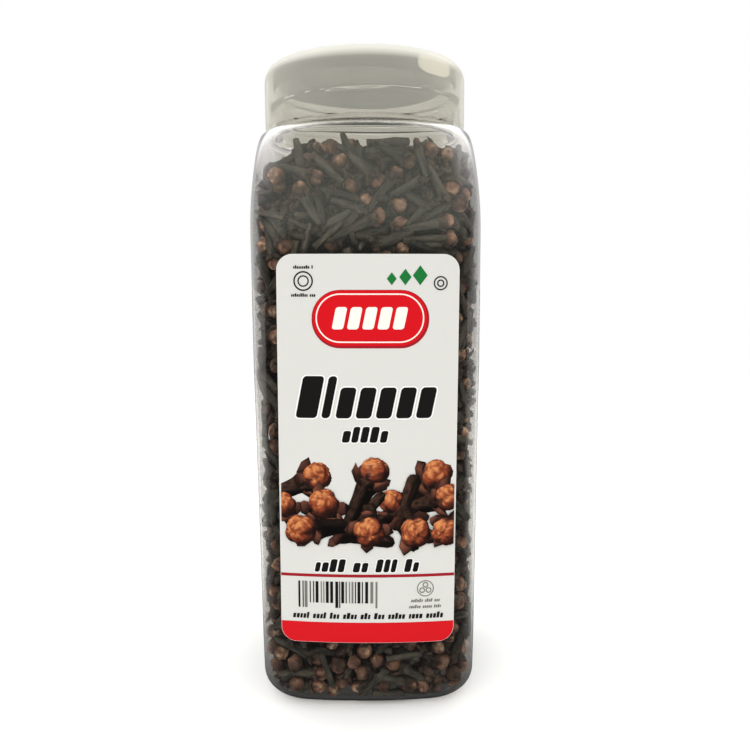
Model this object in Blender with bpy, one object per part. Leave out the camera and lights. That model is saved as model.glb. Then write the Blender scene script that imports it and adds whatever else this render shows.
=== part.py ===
"""Jar of whole cloves: a clear square plastic jar, its screw cap, foil seal, front label and filling.

The jar stands on the ground plane at the origin, with its label facing -Y and its mouth up (+Z).
Every solid is a stack of rings round the Z axis, except the threads, which are swept along a helix,
and the label, which is a thin sheet laid on the front face.
"""
import math

import bmesh
import bpy

MM = 0.001                    # the sizes below are in millimetres

# Jar: a square body with bowed faces, a low round shoulder and a wide threaded neck
BODY_WIDTH = 74.0             # across two opposite faces, at their middles
FACE_RADIUS = 193.0           # bow of each face
CORNER_RADIUS = 14.3          # upright edges between the faces
WALL = 0.8
TAPER = 1.0                   # how far each face draws in from TAPER_TOP down to the base
TAPER_TOP = 110.0
HEEL_RADIUS = 8.9
RECESS_RADIUS = 21.5          # round hollow pushed up under the base
RECESS_SLOPE = 2.0            # width of the step round the hollow
RECESS_STEP = 1.1
RECESS_HEIGHT = 3.0
FLOOR = 1.0                   # thickness of the base
SHOULDER_LOW = 150.0          # the faces start to draw in here
SHOULDER_TOP = 183.4
SHOULDER_RIM = 31.4           # radius where the shoulder meets the ledge round the neck
NECK_FILLET = 1.9
NECK_RADIUS = 29.4
BORE_RADIUS = 28.0
NECK_TOP = 203.2
LIP_ROUND = 0.7

# Thread: one start on the neck, and its match half a pitch lower inside the cap
THREAD_PITCH = 4.2
THREAD_TURNS = 1.6
THREAD_TOP = 196.4
THREAD_START = 26              # the ring point at which the thread begins
THREAD_CREST = 31.0
THREAD_BASE_WIDTH = 1.9
THREAD_CREST_WIDTH = 0.7
THREAD_SINK = 0.45            # how deep each ridge is rooted in the wall it stands on
THREAD_FADE = 0.08            # share of its length over which each end runs out

# Screw cap
CAP_RADIUS = 32.75
CAP_BOTTOM = 185.2
CAP_TOP = 205.4
CAP_ROUND = 6.0               # outside radius of the top edge
CAP_WALL = 1.3
CAP_UNDERSIDE = 204.1
CAP_INNER_ROUND = 3.2
CAP_THREAD_CREST = 29.95
CAP_EDGE = 0.3                # small round on the skirt's lower rim

# Foil seal: a disc over the mouth with its edge folded down the outside of the lip
SEAL_THICKNESS = 0.25
SEAL_BOTTOM = 198.3
GAP = 0.3                     # clear space between pieces that touch on the real jar

# Label
LABEL_WIDTH = 54.2
LABEL_BOTTOM = 23.4
LABEL_TOP = 144.0
LABEL_CORNER = 4.8
LABEL_THICKNESS = 0.25
LABEL_SHIFT = 0.2             # the label sits slightly right of the middle
LABEL_TILT = math.radians(0.45)

# Filling
FILL_EDGE = 175.0             # height of the cloves along the walls
FILL_MIDDLE = 178.0           # height of the mound in the middle
FILL_LUMP = 1.3
FILL_DENT = 0.8

AROUND = 48                   # sides of the rings of the jar, the cap and the filling
AROUND_SEAL = 32
CORNER_CROWDING = 0.08        # how much closer together a ring's points lie near the four corners

HALF_BODY = BODY_WIDTH / 2
FACE_OFFSET = FACE_RADIUS - HALF_BODY
# Distance from the axis, along X and Y, of the centre of a corner that is tangent to both faces
CORNER_CENTRE = (math.sqrt(2 * (FACE_RADIUS - CORNER_RADIUS) ** 2 - FACE_OFFSET ** 2) - FACE_OFFSET) / 2
CORNER_START = math.atan2(FACE_RADIUS * CORNER_CENTRE,
                          FACE_RADIUS * (CORNER_CENTRE + FACE_OFFSET)
                          - FACE_OFFSET * (FACE_RADIUS - CORNER_RADIUS))


# ---------------------------------------------------------------- shape rules

def square_radius(angle):
    """Distance from the axis to the body's outline in one direction."""
    turn = abs((angle + math.pi / 4) % (math.pi / 2) - math.pi / 4)
    if turn <= CORNER_START:
        across = FACE_OFFSET * math.sin(turn)
        return math.sqrt(FACE_RADIUS ** 2 - across ** 2) - FACE_OFFSET * math.cos(turn)
    along = CORNER_CENTRE * (math.cos(turn) + math.sin(turn))
    return along + math.sqrt(along ** 2 - 2 * CORNER_CENTRE ** 2 + CORNER_RADIUS ** 2)


def outline_radius(half_width, squareness, angle):
    """Radius of a ring that goes from a circle (squareness 0) to the body's outline (1)."""
    return half_width * (1 - squareness + squareness * square_radius(angle) / HALF_BODY)


def body_half_width(z):
    """Half-width of the tapered body below the shoulder."""
    return HALF_BODY - TAPER * max(0.0, TAPER_TOP - z) / TAPER_TOP


def shoulder_ring(z, top, rim, inset):
    """Half-width and squareness where the square body turns into the round shoulder."""
    rise = min(max((z - SHOULDER_LOW) / (top - SHOULDER_LOW), 0.0), 1.0)
    left = 1 - rise ** 2
    half_width = rim + (body_half_width(z) - inset - rim) * left ** 0.25
    return half_width, left ** 0.5


def ring_angle(index, around):
    """Direction of a ring's point, on any number of whole turns."""
    turn = 2 * math.pi * index / around
    return turn + CORNER_CROWDING * math.sin(4 * turn)


def arc_steps(count):
    """Angles from 0 to 90 degrees in equal steps, both ends included."""
    return [math.pi / 2 * i / count for i in range(count + 1)]


def shoulder_heights(top):
    """Heights up the shoulder, closer together near its top."""
    return [SHOULDER_LOW + (top - SHOULDER_LOW) * math.sin(a) for a in arc_steps(6)]


def jar_outside():
    """Rings of the jar's outer surface, from the middle of the base up to the neck."""
    base = body_half_width(0)
    rings = [(0.0, 0.0, RECESS_HEIGHT),
             (RECESS_RADIUS - RECESS_SLOPE, 0.0, RECESS_STEP),
             (RECESS_RADIUS, 0.0, 0.0)]
    for a in arc_steps(4):
        rings.append((base - HEEL_RADIUS * (1 - math.sin(a)), 1.0, HEEL_RADIUS * (1 - math.cos(a))))
    rings.append((HALF_BODY, 1.0, TAPER_TOP))
    for z in shoulder_heights(SHOULDER_TOP):
        half_width, squareness = shoulder_ring(z, SHOULDER_TOP, SHOULDER_RIM, 0)
        rings.append((half_width, squareness, z))
    for a in arc_steps(2):
        rings.append((NECK_RADIUS + NECK_FILLET * (1 - math.sin(a)), 0.0,
                      SHOULDER_TOP + NECK_FILLET * (1 - math.cos(a))))
    return rings


def jar_inside():
    """Rings of the jar's inner surface, from the bore down to the middle of the floor."""
    base = body_half_width(0) - WALL
    inner_top = SHOULDER_TOP - WALL
    inner_rim = SHOULDER_RIM - WALL
    inner_heel = HEEL_RADIUS - WALL
    rings = []
    for a in reversed(arc_steps(2)):
        fillet = inner_rim - BORE_RADIUS
        rings.append((BORE_RADIUS + fillet * (1 - math.sin(a)), 0.0, inner_top + fillet * (1 - math.cos(a))))
    for z in reversed(shoulder_heights(inner_top)[:-1]):
        half_width, squareness = shoulder_ring(z, inner_top, inner_rim, WALL)
        rings.append((half_width, squareness, z))
    rings.append((HALF_BODY - WALL, 1.0, TAPER_TOP))
    for a in reversed(arc_steps(4)):
        rings.append((base - inner_heel * (1 - math.sin(a)), 1.0, FLOOR + inner_heel * (1 - math.cos(a))))
    rings.append((RECESS_RADIUS, 0.0, FLOOR))
    rings.append((RECESS_RADIUS - RECESS_SLOPE, 0.0, FLOOR + RECESS_STEP))
    rings.append((0.0, 0.0, FLOOR + RECESS_HEIGHT))
    return rings


def lip_rings():
    """The rounded lip at the top of the neck."""
    rings = []
    for a in arc_steps(2):
        rings.append((NECK_RADIUS - LIP_ROUND * (1 - math.cos(a)), 0.0, NECK_TOP - LIP_ROUND * (1 - math.sin(a))))
    inner_round = NECK_RADIUS - LIP_ROUND - BORE_RADIUS
    rings.append((BORE_RADIUS, 0.0, NECK_TOP - inner_round))
    return rings


def cap_rings():
    """Rings of the cap, from the middle of its top over the skirt to the middle of its underside."""
    flat = CAP_RADIUS - CAP_ROUND
    inner_wall = CAP_RADIUS - CAP_WALL
    inner_flat = inner_wall - CAP_INNER_ROUND
    rings = [(0.0, 0.0, CAP_TOP)]
    for a in arc_steps(5):
        rings.append((flat + CAP_ROUND * math.sin(a), 0.0, CAP_TOP - CAP_ROUND * (1 - math.cos(a))))
    rings.append((CAP_RADIUS, 0.0, CAP_BOTTOM + CAP_EDGE))
    rings.append((CAP_RADIUS - CAP_EDGE, 0.0, CAP_BOTTOM))
    rings.append((inner_wall + CAP_EDGE, 0.0, CAP_BOTTOM))
    rings.append((inner_wall, 0.0, CAP_BOTTOM + CAP_EDGE))
    for a in reversed(arc_steps(3)):
        rings.append((inner_flat + CAP_INNER_ROUND * math.sin(a), 0.0,
                      CAP_UNDERSIDE - CAP_INNER_ROUND * (1 - math.cos(a))))
    rings.append((0.0, 0.0, CAP_UNDERSIDE))
    return rings


def seal_rings():
    """Rings of the foil seal: over the mouth, round the lip and down its outside, then back inside."""
    centre = NECK_RADIUS - LIP_ROUND
    height = NECK_TOP - LIP_ROUND
    rings = [(0.0, 0.0, NECK_TOP + GAP + SEAL_THICKNESS)]
    outer = LIP_ROUND + GAP + SEAL_THICKNESS
    inner = LIP_ROUND + GAP
    for a in arc_steps(2):
        rings.append((centre + outer * math.sin(a), 0.0, height + outer * math.cos(a)))
    rings.append((centre + outer, 0.0, SEAL_BOTTOM))
    rings.append((centre + inner, 0.0, SEAL_BOTTOM))
    for a in reversed(arc_steps(2)):
        rings.append((centre + inner * math.sin(a), 0.0, height + inner * math.cos(a)))
    rings.append((0.0, 0.0, NECK_TOP + GAP))
    return rings


# ---------------------------------------------------------------- mesh tools

def finish(name, colour, roughness, metallic=0.0, alpha=1.0, transmission=0.0):
    """A Principled material."""
    material = bpy.data.materials.new(name)
    material.use_nodes = True
    shader = material.node_tree.nodes["Principled BSDF"]
    shader.inputs["Base Color"].default_value = (*colour, 1.0)
    shader.inputs["Roughness"].default_value = roughness
    shader.inputs["Metallic"].default_value = metallic
    shader.inputs["Alpha"].default_value = alpha
    shader.inputs["Transmission Weight"].default_value = transmission
    material.diffuse_color = (*colour, alpha)
    return material


def add_object(name, mesh_data, material, smooth_angle=35):
    """Turn a closed bmesh into a named object with its faces outwards, shaded smooth."""
    bmesh.ops.recalc_face_normals(mesh_data, faces=mesh_data.faces)
    if mesh_data.calc_volume(signed=True) < 0:
        bmesh.ops.reverse_faces(mesh_data, faces=mesh_data.faces)
    mesh = bpy.data.meshes.new(name)
    mesh_data.to_mesh(mesh)
    mesh_data.free()
    mesh.materials.append(material)
    mesh.shade_smooth()
    mesh.set_sharp_from_angle(angle=math.radians(smooth_angle))
    thing = bpy.data.objects.new(name, mesh)
    bpy.context.collection.objects.link(thing)
    return thing


def skin_rings(loops):
    """Closed surface through a list of loops; a loop of one vertex is a pole."""
    mesh_data = bmesh.new()
    made = [[mesh_data.verts.new([c * MM for c in point]) for point in loop] for loop in loops]
    for low, high in zip(made, made[1:]):
        count = max(len(low), len(high))
        for i in range(count):
            j = (i + 1) % count
            corners = []
            for vert in (low[i % len(low)], low[j % len(low)], high[j % len(high)], high[i % len(high)]):
                if vert not in corners:
                    corners.append(vert)
            mesh_data.faces.new(corners)
    return mesh_data


def ring_points(half_width, squareness, z, around):
    """Points of one ring, or a single pole point for a ring of no width."""
    if half_width == 0:
        return [(0.0, 0.0, z)]
    points = []
    for i in range(around):
        angle = ring_angle(i, around)
        radius = outline_radius(half_width, squareness, angle)
        points.append((radius * math.cos(angle), radius * math.sin(angle), z))
    return points


def turned_solid(rings, around):
    """Closed surface through rings given as half-width, squareness and height."""
    return skin_rings([ring_points(*ring, around) for ring in rings])


def thread_ridge(name, root, crest, top):
    """Helical ridge, a guide that is joined to the wall it stands on."""
    steps = round(THREAD_TURNS * AROUND)
    loops = []
    for i in range(steps + 1):
        share = i / steps
        angle = ring_angle(THREAD_START - i, AROUND)
        z = top - THREAD_PITCH * i / AROUND
        height = min(1.0, share / THREAD_FADE, (1 - share) / THREAD_FADE)
        tip = root + (crest - root) * height
        loop = []
        for radius, offset in ((root, THREAD_BASE_WIDTH / 2), (tip, THREAD_CREST_WIDTH / 2),
                               (tip, -THREAD_CREST_WIDTH / 2), (root, -THREAD_BASE_WIDTH / 2)):
            loop.append((radius * math.cos(angle), radius * math.sin(angle), z + offset))
        loops.append(loop)
    # The two ends close at a point inside the wall
    ends = [[tuple(sum(point[axis] for point in end) / len(end) for axis in range(3))]
            for end in (loops[0], loops[-1])]
    loops = [ends[0]] + loops + [ends[1]]
    ridge = add_object(name, skin_rings(loops), None)
    ridge.hide_render = True
    ridge.display_type = "WIRE"
    return ridge


def join_to(target, ridge):
    """Union of a wall and its thread."""
    union = target.modifiers.new("thread", "BOOLEAN")
    union.operation = "UNION"
    union.solver = "EXACT"
    union.object = ridge


# ---------------------------------------------------------------- pieces

def make_jar():
    material = finish("clear_polyester", (0.86, 0.87, 0.86), 0.05, alpha=0.3, transmission=1.0)
    jar = add_object("jar", turned_solid(jar_outside() + lip_rings() + jar_inside(), AROUND), material)
    join_to(jar, thread_ridge("neck_thread", NECK_RADIUS - THREAD_SINK, THREAD_CREST, THREAD_TOP))


def make_cap():
    material = finish("natural_polypropylene", (0.71, 0.70, 0.62), 0.35)
    cap = add_object("cap", turned_solid(cap_rings(), AROUND), material)
    inner_wall = CAP_RADIUS - CAP_WALL
    join_to(cap, thread_ridge("cap_thread", inner_wall + THREAD_SINK, CAP_THREAD_CREST,
                              THREAD_TOP - THREAD_PITCH / 2))


def make_seal():
    material = finish("seal_foil", (0.55, 0.55, 0.54), 0.3, metallic=1.0)
    add_object("seal", turned_solid(seal_rings(), AROUND_SEAL), material)


def label_point(across, up, lift):
    """A place on the label, as a point that stands `lift` off the jar's front face."""
    centre = (LABEL_TOP + LABEL_BOTTOM) / 2
    x = LABEL_SHIFT + across * math.cos(LABEL_TILT) + up * math.sin(LABEL_TILT)
    z = centre + up * math.cos(LABEL_TILT) - across * math.sin(LABEL_TILT)
    bow = FACE_RADIUS - math.sqrt(FACE_RADIUS ** 2 - x ** 2)
    return (x, bow - body_half_width(z) - lift, z)


def make_label():
    half_width = LABEL_WIDTH / 2
    half_height = (LABEL_TOP - LABEL_BOTTOM) / 2
    corner = half_width - LABEL_CORNER
    columns = []
    for a in reversed(arc_steps(4)):
        columns.append((corner + LABEL_CORNER * math.cos(a), half_height - LABEL_CORNER * (1 - math.sin(a))))
    inner_columns = 4
    flat = [(corner * i / inner_columns, half_height) for i in range(-inner_columns + 1, inner_columns)]
    columns = [(-x, z) for x, z in reversed(columns)] + flat + columns
    bend = TAPER_TOP - (LABEL_TOP + LABEL_BOTTOM) / 2
    # Each column is a loop through its back face and its front face
    loops = []
    for across, reach in columns:
        back = [label_point(across, up, GAP) for up in (-reach, bend, reach)]
        front = [label_point(across, up, GAP + LABEL_THICKNESS) for up in (reach, bend, -reach)]
        loops.append(back + front)
    mesh_data = skin_rings(loops)
    mesh_data.verts.ensure_lookup_table()
    size = len(loops[0])
    for start in (0, len(mesh_data.verts) - size):
        end = mesh_data.verts[start:start + size]
        mesh_data.faces.new((end[0], end[1], end[4], end[5]))
        mesh_data.faces.new((end[1], end[2], end[3], end[4]))
    add_object("label", mesh_data, finish("label_film", (0.80, 0.79, 0.75), 0.4), smooth_angle=20)


def lumps(angle, height):
    """Gentle unevenness between -1 and 1, so that no two sides of the heap are alike."""
    wave = math.sin(5 * angle + height / 7.0) + math.sin(8 * angle - height / 5.0 + 1.3)
    return (wave + math.sin(3 * angle + height / 11.0 + 2.1)) / 3


def make_filling():
    inner_top = SHOULDER_TOP - WALL
    inner_rim = SHOULDER_RIM - WALL
    base = body_half_width(0) - WALL
    heel = HEEL_RADIUS - WALL
    loops = [[(0.0, 0.0, FLOOR + RECESS_HEIGHT + GAP)]]
    # Underside, which lies on the jar's floor and round its inner heel
    for radius, z in ((RECESS_RADIUS - RECESS_SLOPE, RECESS_STEP), (RECESS_RADIUS, 0.0)):
        loops.append(ring_points(radius, 0.0, z + FLOOR + GAP, AROUND))
    for a in arc_steps(4):
        loops.append(ring_points(base - heel * (1 - math.sin(a)) - GAP, 1.0,
                                 FLOOR + GAP + heel * (1 - math.cos(a)), AROUND))
    # Sides, pushed in here and there, up to the uneven edge
    side_steps = 8
    low = FLOOR + GAP + heel
    for step in range(1, side_steps + 1):
        loop = []
        for i in range(AROUND):
            angle = ring_angle(i, AROUND)
            edge = FILL_EDGE + FILL_LUMP * lumps(angle, 0)
            z = low + (edge - low) * step / side_steps
            half_width, squareness = shoulder_ring(z, inner_top, inner_rim, WALL)
            dent = FILL_DENT * (1 + lumps(angle, z)) / 2
            radius = outline_radius(half_width - GAP - dent, squareness, angle)
            loop.append((radius * math.cos(angle), radius * math.sin(angle), z))
        loops.append(loop)
    # Top, a low mound of lumps
    brim = loops[-1]
    top_steps = 5
    for step in range(top_steps - 1, 0, -1):
        share = step / top_steps
        loop = []
        for i, (x, y, edge) in enumerate(brim):
            mound = edge + (FILL_MIDDLE - edge) * (1 - share ** 2)
            bump = FILL_LUMP * share * lumps(ring_angle(i, AROUND), 60 * share)
            loop.append((x * share, y * share, mound + bump))
        loops.append(loop)
    loops.append([(0.0, 0.0, FILL_MIDDLE)])
    material = finish("dried_cloves", (0.08, 0.05, 0.035), 0.7)
    add_object("cloves", skin_rings(loops), material, smooth_angle=60)


def build():
    for thing in list(bpy.data.objects):
        bpy.data.objects.remove(thing, do_unlink=True)
    make_jar()
    make_cap()
    make_seal()
    make_label()
    make_filling()


build()
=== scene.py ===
import math

import bmesh
import bpy
import numpy as np
from bpy.props import FloatProperty, FloatVectorProperty, IntProperty, PointerProperty
from bpy.types import Operator, Panel, PropertyGroup
from mathutils import Matrix, Vector


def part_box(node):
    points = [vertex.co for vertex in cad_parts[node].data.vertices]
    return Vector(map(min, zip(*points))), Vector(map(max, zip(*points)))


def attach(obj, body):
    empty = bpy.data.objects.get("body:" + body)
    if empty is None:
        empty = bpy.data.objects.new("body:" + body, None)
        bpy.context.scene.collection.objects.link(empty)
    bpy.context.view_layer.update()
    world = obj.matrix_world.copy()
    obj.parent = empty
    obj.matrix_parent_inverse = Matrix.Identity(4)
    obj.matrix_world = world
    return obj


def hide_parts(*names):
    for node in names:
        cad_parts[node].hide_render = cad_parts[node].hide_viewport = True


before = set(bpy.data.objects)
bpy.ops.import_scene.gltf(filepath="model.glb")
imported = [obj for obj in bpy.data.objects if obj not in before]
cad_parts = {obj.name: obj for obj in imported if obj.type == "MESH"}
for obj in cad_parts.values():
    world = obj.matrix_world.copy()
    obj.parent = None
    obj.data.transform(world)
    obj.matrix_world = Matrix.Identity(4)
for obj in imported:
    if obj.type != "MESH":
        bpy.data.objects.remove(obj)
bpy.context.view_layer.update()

bl_info = {
    "name": "Jar of Whole Cloves",
    "version": (1, 0, 0),
    "blender": (4, 5, 0),
    "location": "View3D > Sidebar > Clove Jar",
    "description": "Builds the looks of a clear square jar of whole cloves round its CAD frame",
    "category": "Object",
}

MM = 0.001
BODY = "root"                     # the one body of a row with no joints

# Corners of the CAD nodes' boxes, each the lowest or the highest x, y and z
CAP_LOW, CAP_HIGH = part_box("cap")
JAR_HIGH, SEAL_LOW, FILL_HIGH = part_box("jar")[1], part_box("seal")[0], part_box("cloves")[1]

LIP_ROUND = 0.7 * MM              # round of the neck's upper rim, which the seal is folded over
THREAD_SINK = 0.45 * MM           # how deep each thread is rooted in the wall it stands on
THREAD_START = math.radians(195)  # where round the neck each thread starts
AROUND = 192                      # sides of the jar's and the cap's rings


# ---------------------------------------------------------------- settings

class JarSettings(PropertyGroup):
    """Sizes and colour of the blown jar."""
    face_radius: FloatProperty(name="Face Bow", description="Radius of each bowed face",
                               default=193.0 * MM, unit="LENGTH")
    corner_radius: FloatProperty(name="Corner Radius", description="Radius of the upright edges",
                                 default=14.3 * MM, unit="LENGTH")
    taper: FloatProperty(name="Taper", description="How far each face draws in towards the base",
                         default=1.0 * MM, unit="LENGTH")
    taper_top: FloatProperty(name="Taper Top", description="Height at which the taper starts",
                             default=110.0 * MM, unit="LENGTH")
    wall: FloatProperty(name="Wall", description="Thickness of the body's wall", default=0.8 * MM,
                        unit="LENGTH")
    heel: FloatProperty(name="Heel Radius", description="Round between faces and base",
                        default=8.9 * MM, unit="LENGTH")
    floor: FloatProperty(name="Floor", description="Thickness of the base", default=1.0 * MM, unit="LENGTH")
    recess_radius: FloatProperty(name="Recess Radius", description="Hollow pushed up under the base",
                                 default=21.5 * MM, unit="LENGTH")
    recess_height: FloatProperty(name="Recess Height", description="Depth of that hollow",
                                 default=3.0 * MM, unit="LENGTH")
    shoulder_low: FloatProperty(name="Shoulder Start", description="Height where the faces draw in",
                                default=150.0 * MM, unit="LENGTH")
    shoulder_top: FloatProperty(name="Shoulder Top", description="Height of the ledge round the neck",
                                default=183.4 * MM, unit="LENGTH")
    shoulder_rim: FloatProperty(name="Shoulder Rim", description="Radius of that ledge",
                                default=31.4 * MM, unit="LENGTH")
    neck_radius: FloatProperty(name="Neck Radius", description="Outside of the neck",
                               default=29.4 * MM, unit="LENGTH")
    bore_radius: FloatProperty(name="Bore Radius", description="Inside of the neck",
                               default=28.0 * MM, unit="LENGTH")
    tint: FloatVectorProperty(name="Plastic Tint", description="Colour of light that has passed the wall",
                              subtype="COLOR", size=3, default=(0.935, 0.915, 0.89), min=0.0, max=1.0)


class ThreadSettings(PropertyGroup):
    """Screw thread on the neck, and its match in the cap."""
    pitch: FloatProperty(name="Pitch", description="Rise of one turn", default=4.2 * MM, unit="LENGTH")
    turns: FloatProperty(name="Turns", description="Length of the thread in turns", default=1.6)
    top: FloatProperty(name="Top", description="Height of the thread's upper end",
                       default=196.4 * MM, unit="LENGTH")
    neck_crest: FloatProperty(name="Neck Crest", description="Radius of the neck thread's crest",
                              default=31.0 * MM, unit="LENGTH")
    cap_crest: FloatProperty(name="Cap Crest", description="Radius of the cap thread's crest",
                             default=29.95 * MM, unit="LENGTH")


class CapSettings(PropertyGroup):
    """Sizes of the moulded cap."""
    edge: FloatProperty(name="Top Round", description="Radius of the outer top edge",
                        default=6.0 * MM, unit="LENGTH")
    wall: FloatProperty(name="Wall", description="Thickness of the skirt", default=1.3 * MM, unit="LENGTH")
    underside: FloatProperty(name="Underside", description="Height of the inside of the top",
                             default=204.1 * MM, unit="LENGTH")
    inner_round: FloatProperty(name="Inner Round", description="Radius of the inner top edge",
                               default=3.2 * MM, unit="LENGTH")


class CloveSettings(PropertyGroup):
    """The loose cloves inside the jar."""
    count: IntProperty(name="Cloves", description="Cloves in the layer that can be seen", default=1900,
                       min=10)
    shell: FloatProperty(name="Layer", description="Thickness of that layer", default=12.0 * MM,
                         unit="LENGTH")
    steps: IntProperty(name="Settling Steps", description="Rounds of pushing overlaps apart",
                       default=70, min=1)
    seed: IntProperty(name="Seed", description="Seed of the heap's random lie", default=11)
    edge_height: FloatProperty(name="Edge Height", description="Height of the heap at the walls",
                               default=177.6 * MM, unit="LENGTH")
    middle_height: FloatProperty(name="Middle Height", description="Height of the mound",
                                 default=179.8 * MM, unit="LENGTH")


class LabelSettings(PropertyGroup):
    """The printed label."""
    width: FloatProperty(name="Width", description="Width of the label", default=54.2 * MM, unit="LENGTH")
    bottom: FloatProperty(name="Bottom", description="Height of its lower edge",
                          default=23.4 * MM, unit="LENGTH")
    top: FloatProperty(name="Top", description="Height of its upper edge", default=144.0 * MM, unit="LENGTH")
    corner: FloatProperty(name="Corner", description="Radius of its corners", default=4.8 * MM, unit="LENGTH")
    shift: FloatProperty(name="Shift", description="How far right of the middle it sits",
                         default=0.2 * MM, unit="LENGTH")
    tilt: FloatProperty(name="Tilt", description="How far it is turned on the face",
                        default=math.radians(0.45), subtype="ANGLE")
    lift: FloatProperty(name="Lift", description="Clear space behind the film",
                        default=0.06 * MM, unit="LENGTH")
    thickness: FloatProperty(name="Film", description="Thickness of the film", default=0.12 * MM,
                             unit="LENGTH")


class StageSettings(PropertyGroup):
    """Camera and light."""
    distance: FloatProperty(name="Camera Distance", description="From the jar's axis",
                            default=264.2 * MM, unit="LENGTH")
    height: FloatProperty(name="Camera Height", description="Above the floor",
                          default=138.4 * MM, unit="LENGTH")
    pitch: FloatProperty(name="Camera Pitch", description="How far it looks down",
                         default=math.radians(7.55), subtype="ANGLE")
    roll: FloatProperty(name="Camera Roll", description="Turn about the line of sight",
                        default=math.radians(0.41), subtype="ANGLE")
    lens: FloatProperty(name="Lens", description="Focal length on a 36 mm sensor",
                        default=36.86, unit="CAMERA")
    shift: FloatProperty(name="Lens Shift", description="Sideways shift, as a share of the picture's width",
                         default=0.0113)


# ---------------------------------------------------------------- shape rules of the jar

class JarShape:
    """The jar's cross-sections and profile, worked out from its settings."""

    def __init__(self, sizes):
        self.s = sizes
        self.half = JAR_HIGH.x
        self.offset = sizes.face_radius - self.half
        reach = sizes.face_radius - sizes.corner_radius
        # Where the centre of a corner lies along X and Y, so that it is tangent to both faces
        self.centre = (math.sqrt(2 * reach ** 2 - self.offset ** 2) - self.offset) / 2
        self.lean = math.atan2(self.centre, self.centre + self.offset)
        self.corner_start = math.atan2(
            sizes.face_radius * math.sin(self.lean),
            sizes.face_radius * math.cos(self.lean) - self.offset)

    def square_radius(self, angle):
        """Distance from the axis to the body's outline in each direction."""
        turn = np.abs((angle + math.pi / 4) % (math.pi / 2) - math.pi / 4)
        across = self.offset * np.sin(turn)
        face = np.sqrt(self.s.face_radius ** 2 - across ** 2) - self.offset * np.cos(turn)
        along = self.centre * (np.cos(turn) + np.sin(turn))
        inside = np.maximum(along ** 2 - 2 * self.centre ** 2 + self.s.corner_radius ** 2, 0)
        return np.where(turn <= self.corner_start, face, along + np.sqrt(inside))

    def outline(self, half_width, squareness, angle):
        """Radius of a ring between a circle (squareness 0) and the body's outline (1)."""
        return half_width * (1 - squareness + squareness * self.square_radius(angle) / self.half)

    def body_half_width(self, z):
        """Half-width of the tapered body below the shoulder."""
        return self.half - self.s.taper * np.maximum(0.0, self.s.taper_top - z) / self.s.taper_top

    def shoulder(self, z, top, rim, inset):
        """Half-width and squareness where the square body turns into the round shoulder."""
        rise = np.clip((z - self.s.shoulder_low) / (top - self.s.shoulder_low), 0.0, 1.0)
        left = 1 - rise ** 2
        return rim + (self.body_half_width(z) - inset - rim) * left ** 0.25, left ** 0.5

    def inner(self, z):
        """Half-width and squareness of the inner wall at any height below the neck."""
        wall = self.s.wall
        half, square = self.shoulder(z, self.s.shoulder_top - wall, self.s.shoulder_rim - wall, wall)
        heel = self.s.heel - wall
        rise = np.clip((z - self.s.floor) / heel, 0.0, 1.0)
        return half - heel * (1 - np.sqrt(1 - (1 - rise) ** 2)), square

    def wall_depth(self, points):
        """How deep each point lies inside the inner wall, and the level direction out through the wall."""
        x, y, z = points.T
        half, square = self.inner(z)
        major, minor = np.maximum(np.abs(x), np.abs(y)), np.minimum(np.abs(x), np.abs(y))
        swap = np.abs(y) > np.abs(x)
        in_corner = np.arctan2(minor, major + self.offset) > self.lean
        from_x = np.where(in_corner, major - self.centre, major + self.offset)
        from_y = np.where(in_corner, minor - self.centre, minor)
        reach = np.hypot(from_x, from_y) + 1e-12
        radius = np.where(in_corner, self.s.corner_radius, self.s.face_radius) - self.s.wall
        depth = radius - reach - (self.half - self.s.wall - half)
        way_x, way_y = from_x / reach, from_y / reach
        way = np.stack((np.where(swap, way_y, way_x) * np.sign(x),
                        np.where(swap, way_x, way_y) * np.sign(y)), 1)
        ring = np.hypot(x, y) + 1e-12
        round_way = np.stack((x, y), 1) / ring[:, None]
        depth = square * depth + (1 - square) * (half - ring)
        way = square[:, None] * way + (1 - square)[:, None] * round_way
        way /= np.linalg.norm(way, axis=1, keepdims=True)
        return depth, way

    def floor_height(self, points):
        """Height of the jar's inner floor, pushed up in the middle."""
        share = np.clip(np.hypot(points[:, 0], points[:, 1]) / self.s.recess_radius, 0, 1)
        return self.s.floor + self.s.recess_height * (1 - share ** 3)


# ---------------------------------------------------------------- mesh tools

def new_object(name, verts, faces, smooth=True):
    """A mesh object at the origin from arrays of points and faces."""
    mesh = bpy.data.meshes.new(name)
    mesh.from_pydata([tuple(v) for v in verts], [], [tuple(f) for f in faces])
    mesh.validate()
    if smooth:
        mesh.shade_smooth()
    thing = bpy.data.objects.new(name, mesh)
    bpy.context.scene.collection.objects.link(thing)
    return thing


def loft(loops):
    """Points and faces of a closed surface through loops; a loop of one point is a pole."""
    verts, faces, starts = [], [], []
    for loop in loops:
        starts.append((len(verts), len(loop)))
        verts.extend(loop)
    for (low, low_count), (high, high_count) in zip(starts, starts[1:]):
        count = max(low_count, high_count)
        for i in range(count):
            j = (i + 1) % count
            if low_count == 1:
                faces.append((low, high + j, high + i))
            elif high_count == 1:
                faces.append((low + i, low + j, high))
            else:
                faces.append((low + i, low + j, high + j, high + i))
    return verts, faces


def ring_loop(shape, half_width, squareness, z, around):
    """Points of one ring of the jar or the cap."""
    if half_width == 0:
        return [(0.0, 0.0, z)]
    angles = np.arange(around) * 2 * math.pi / around
    radius = shape.outline(half_width, squareness, angles)
    return [(r * math.cos(a), r * math.sin(a), z) for r, a in zip(radius, angles)]


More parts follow.
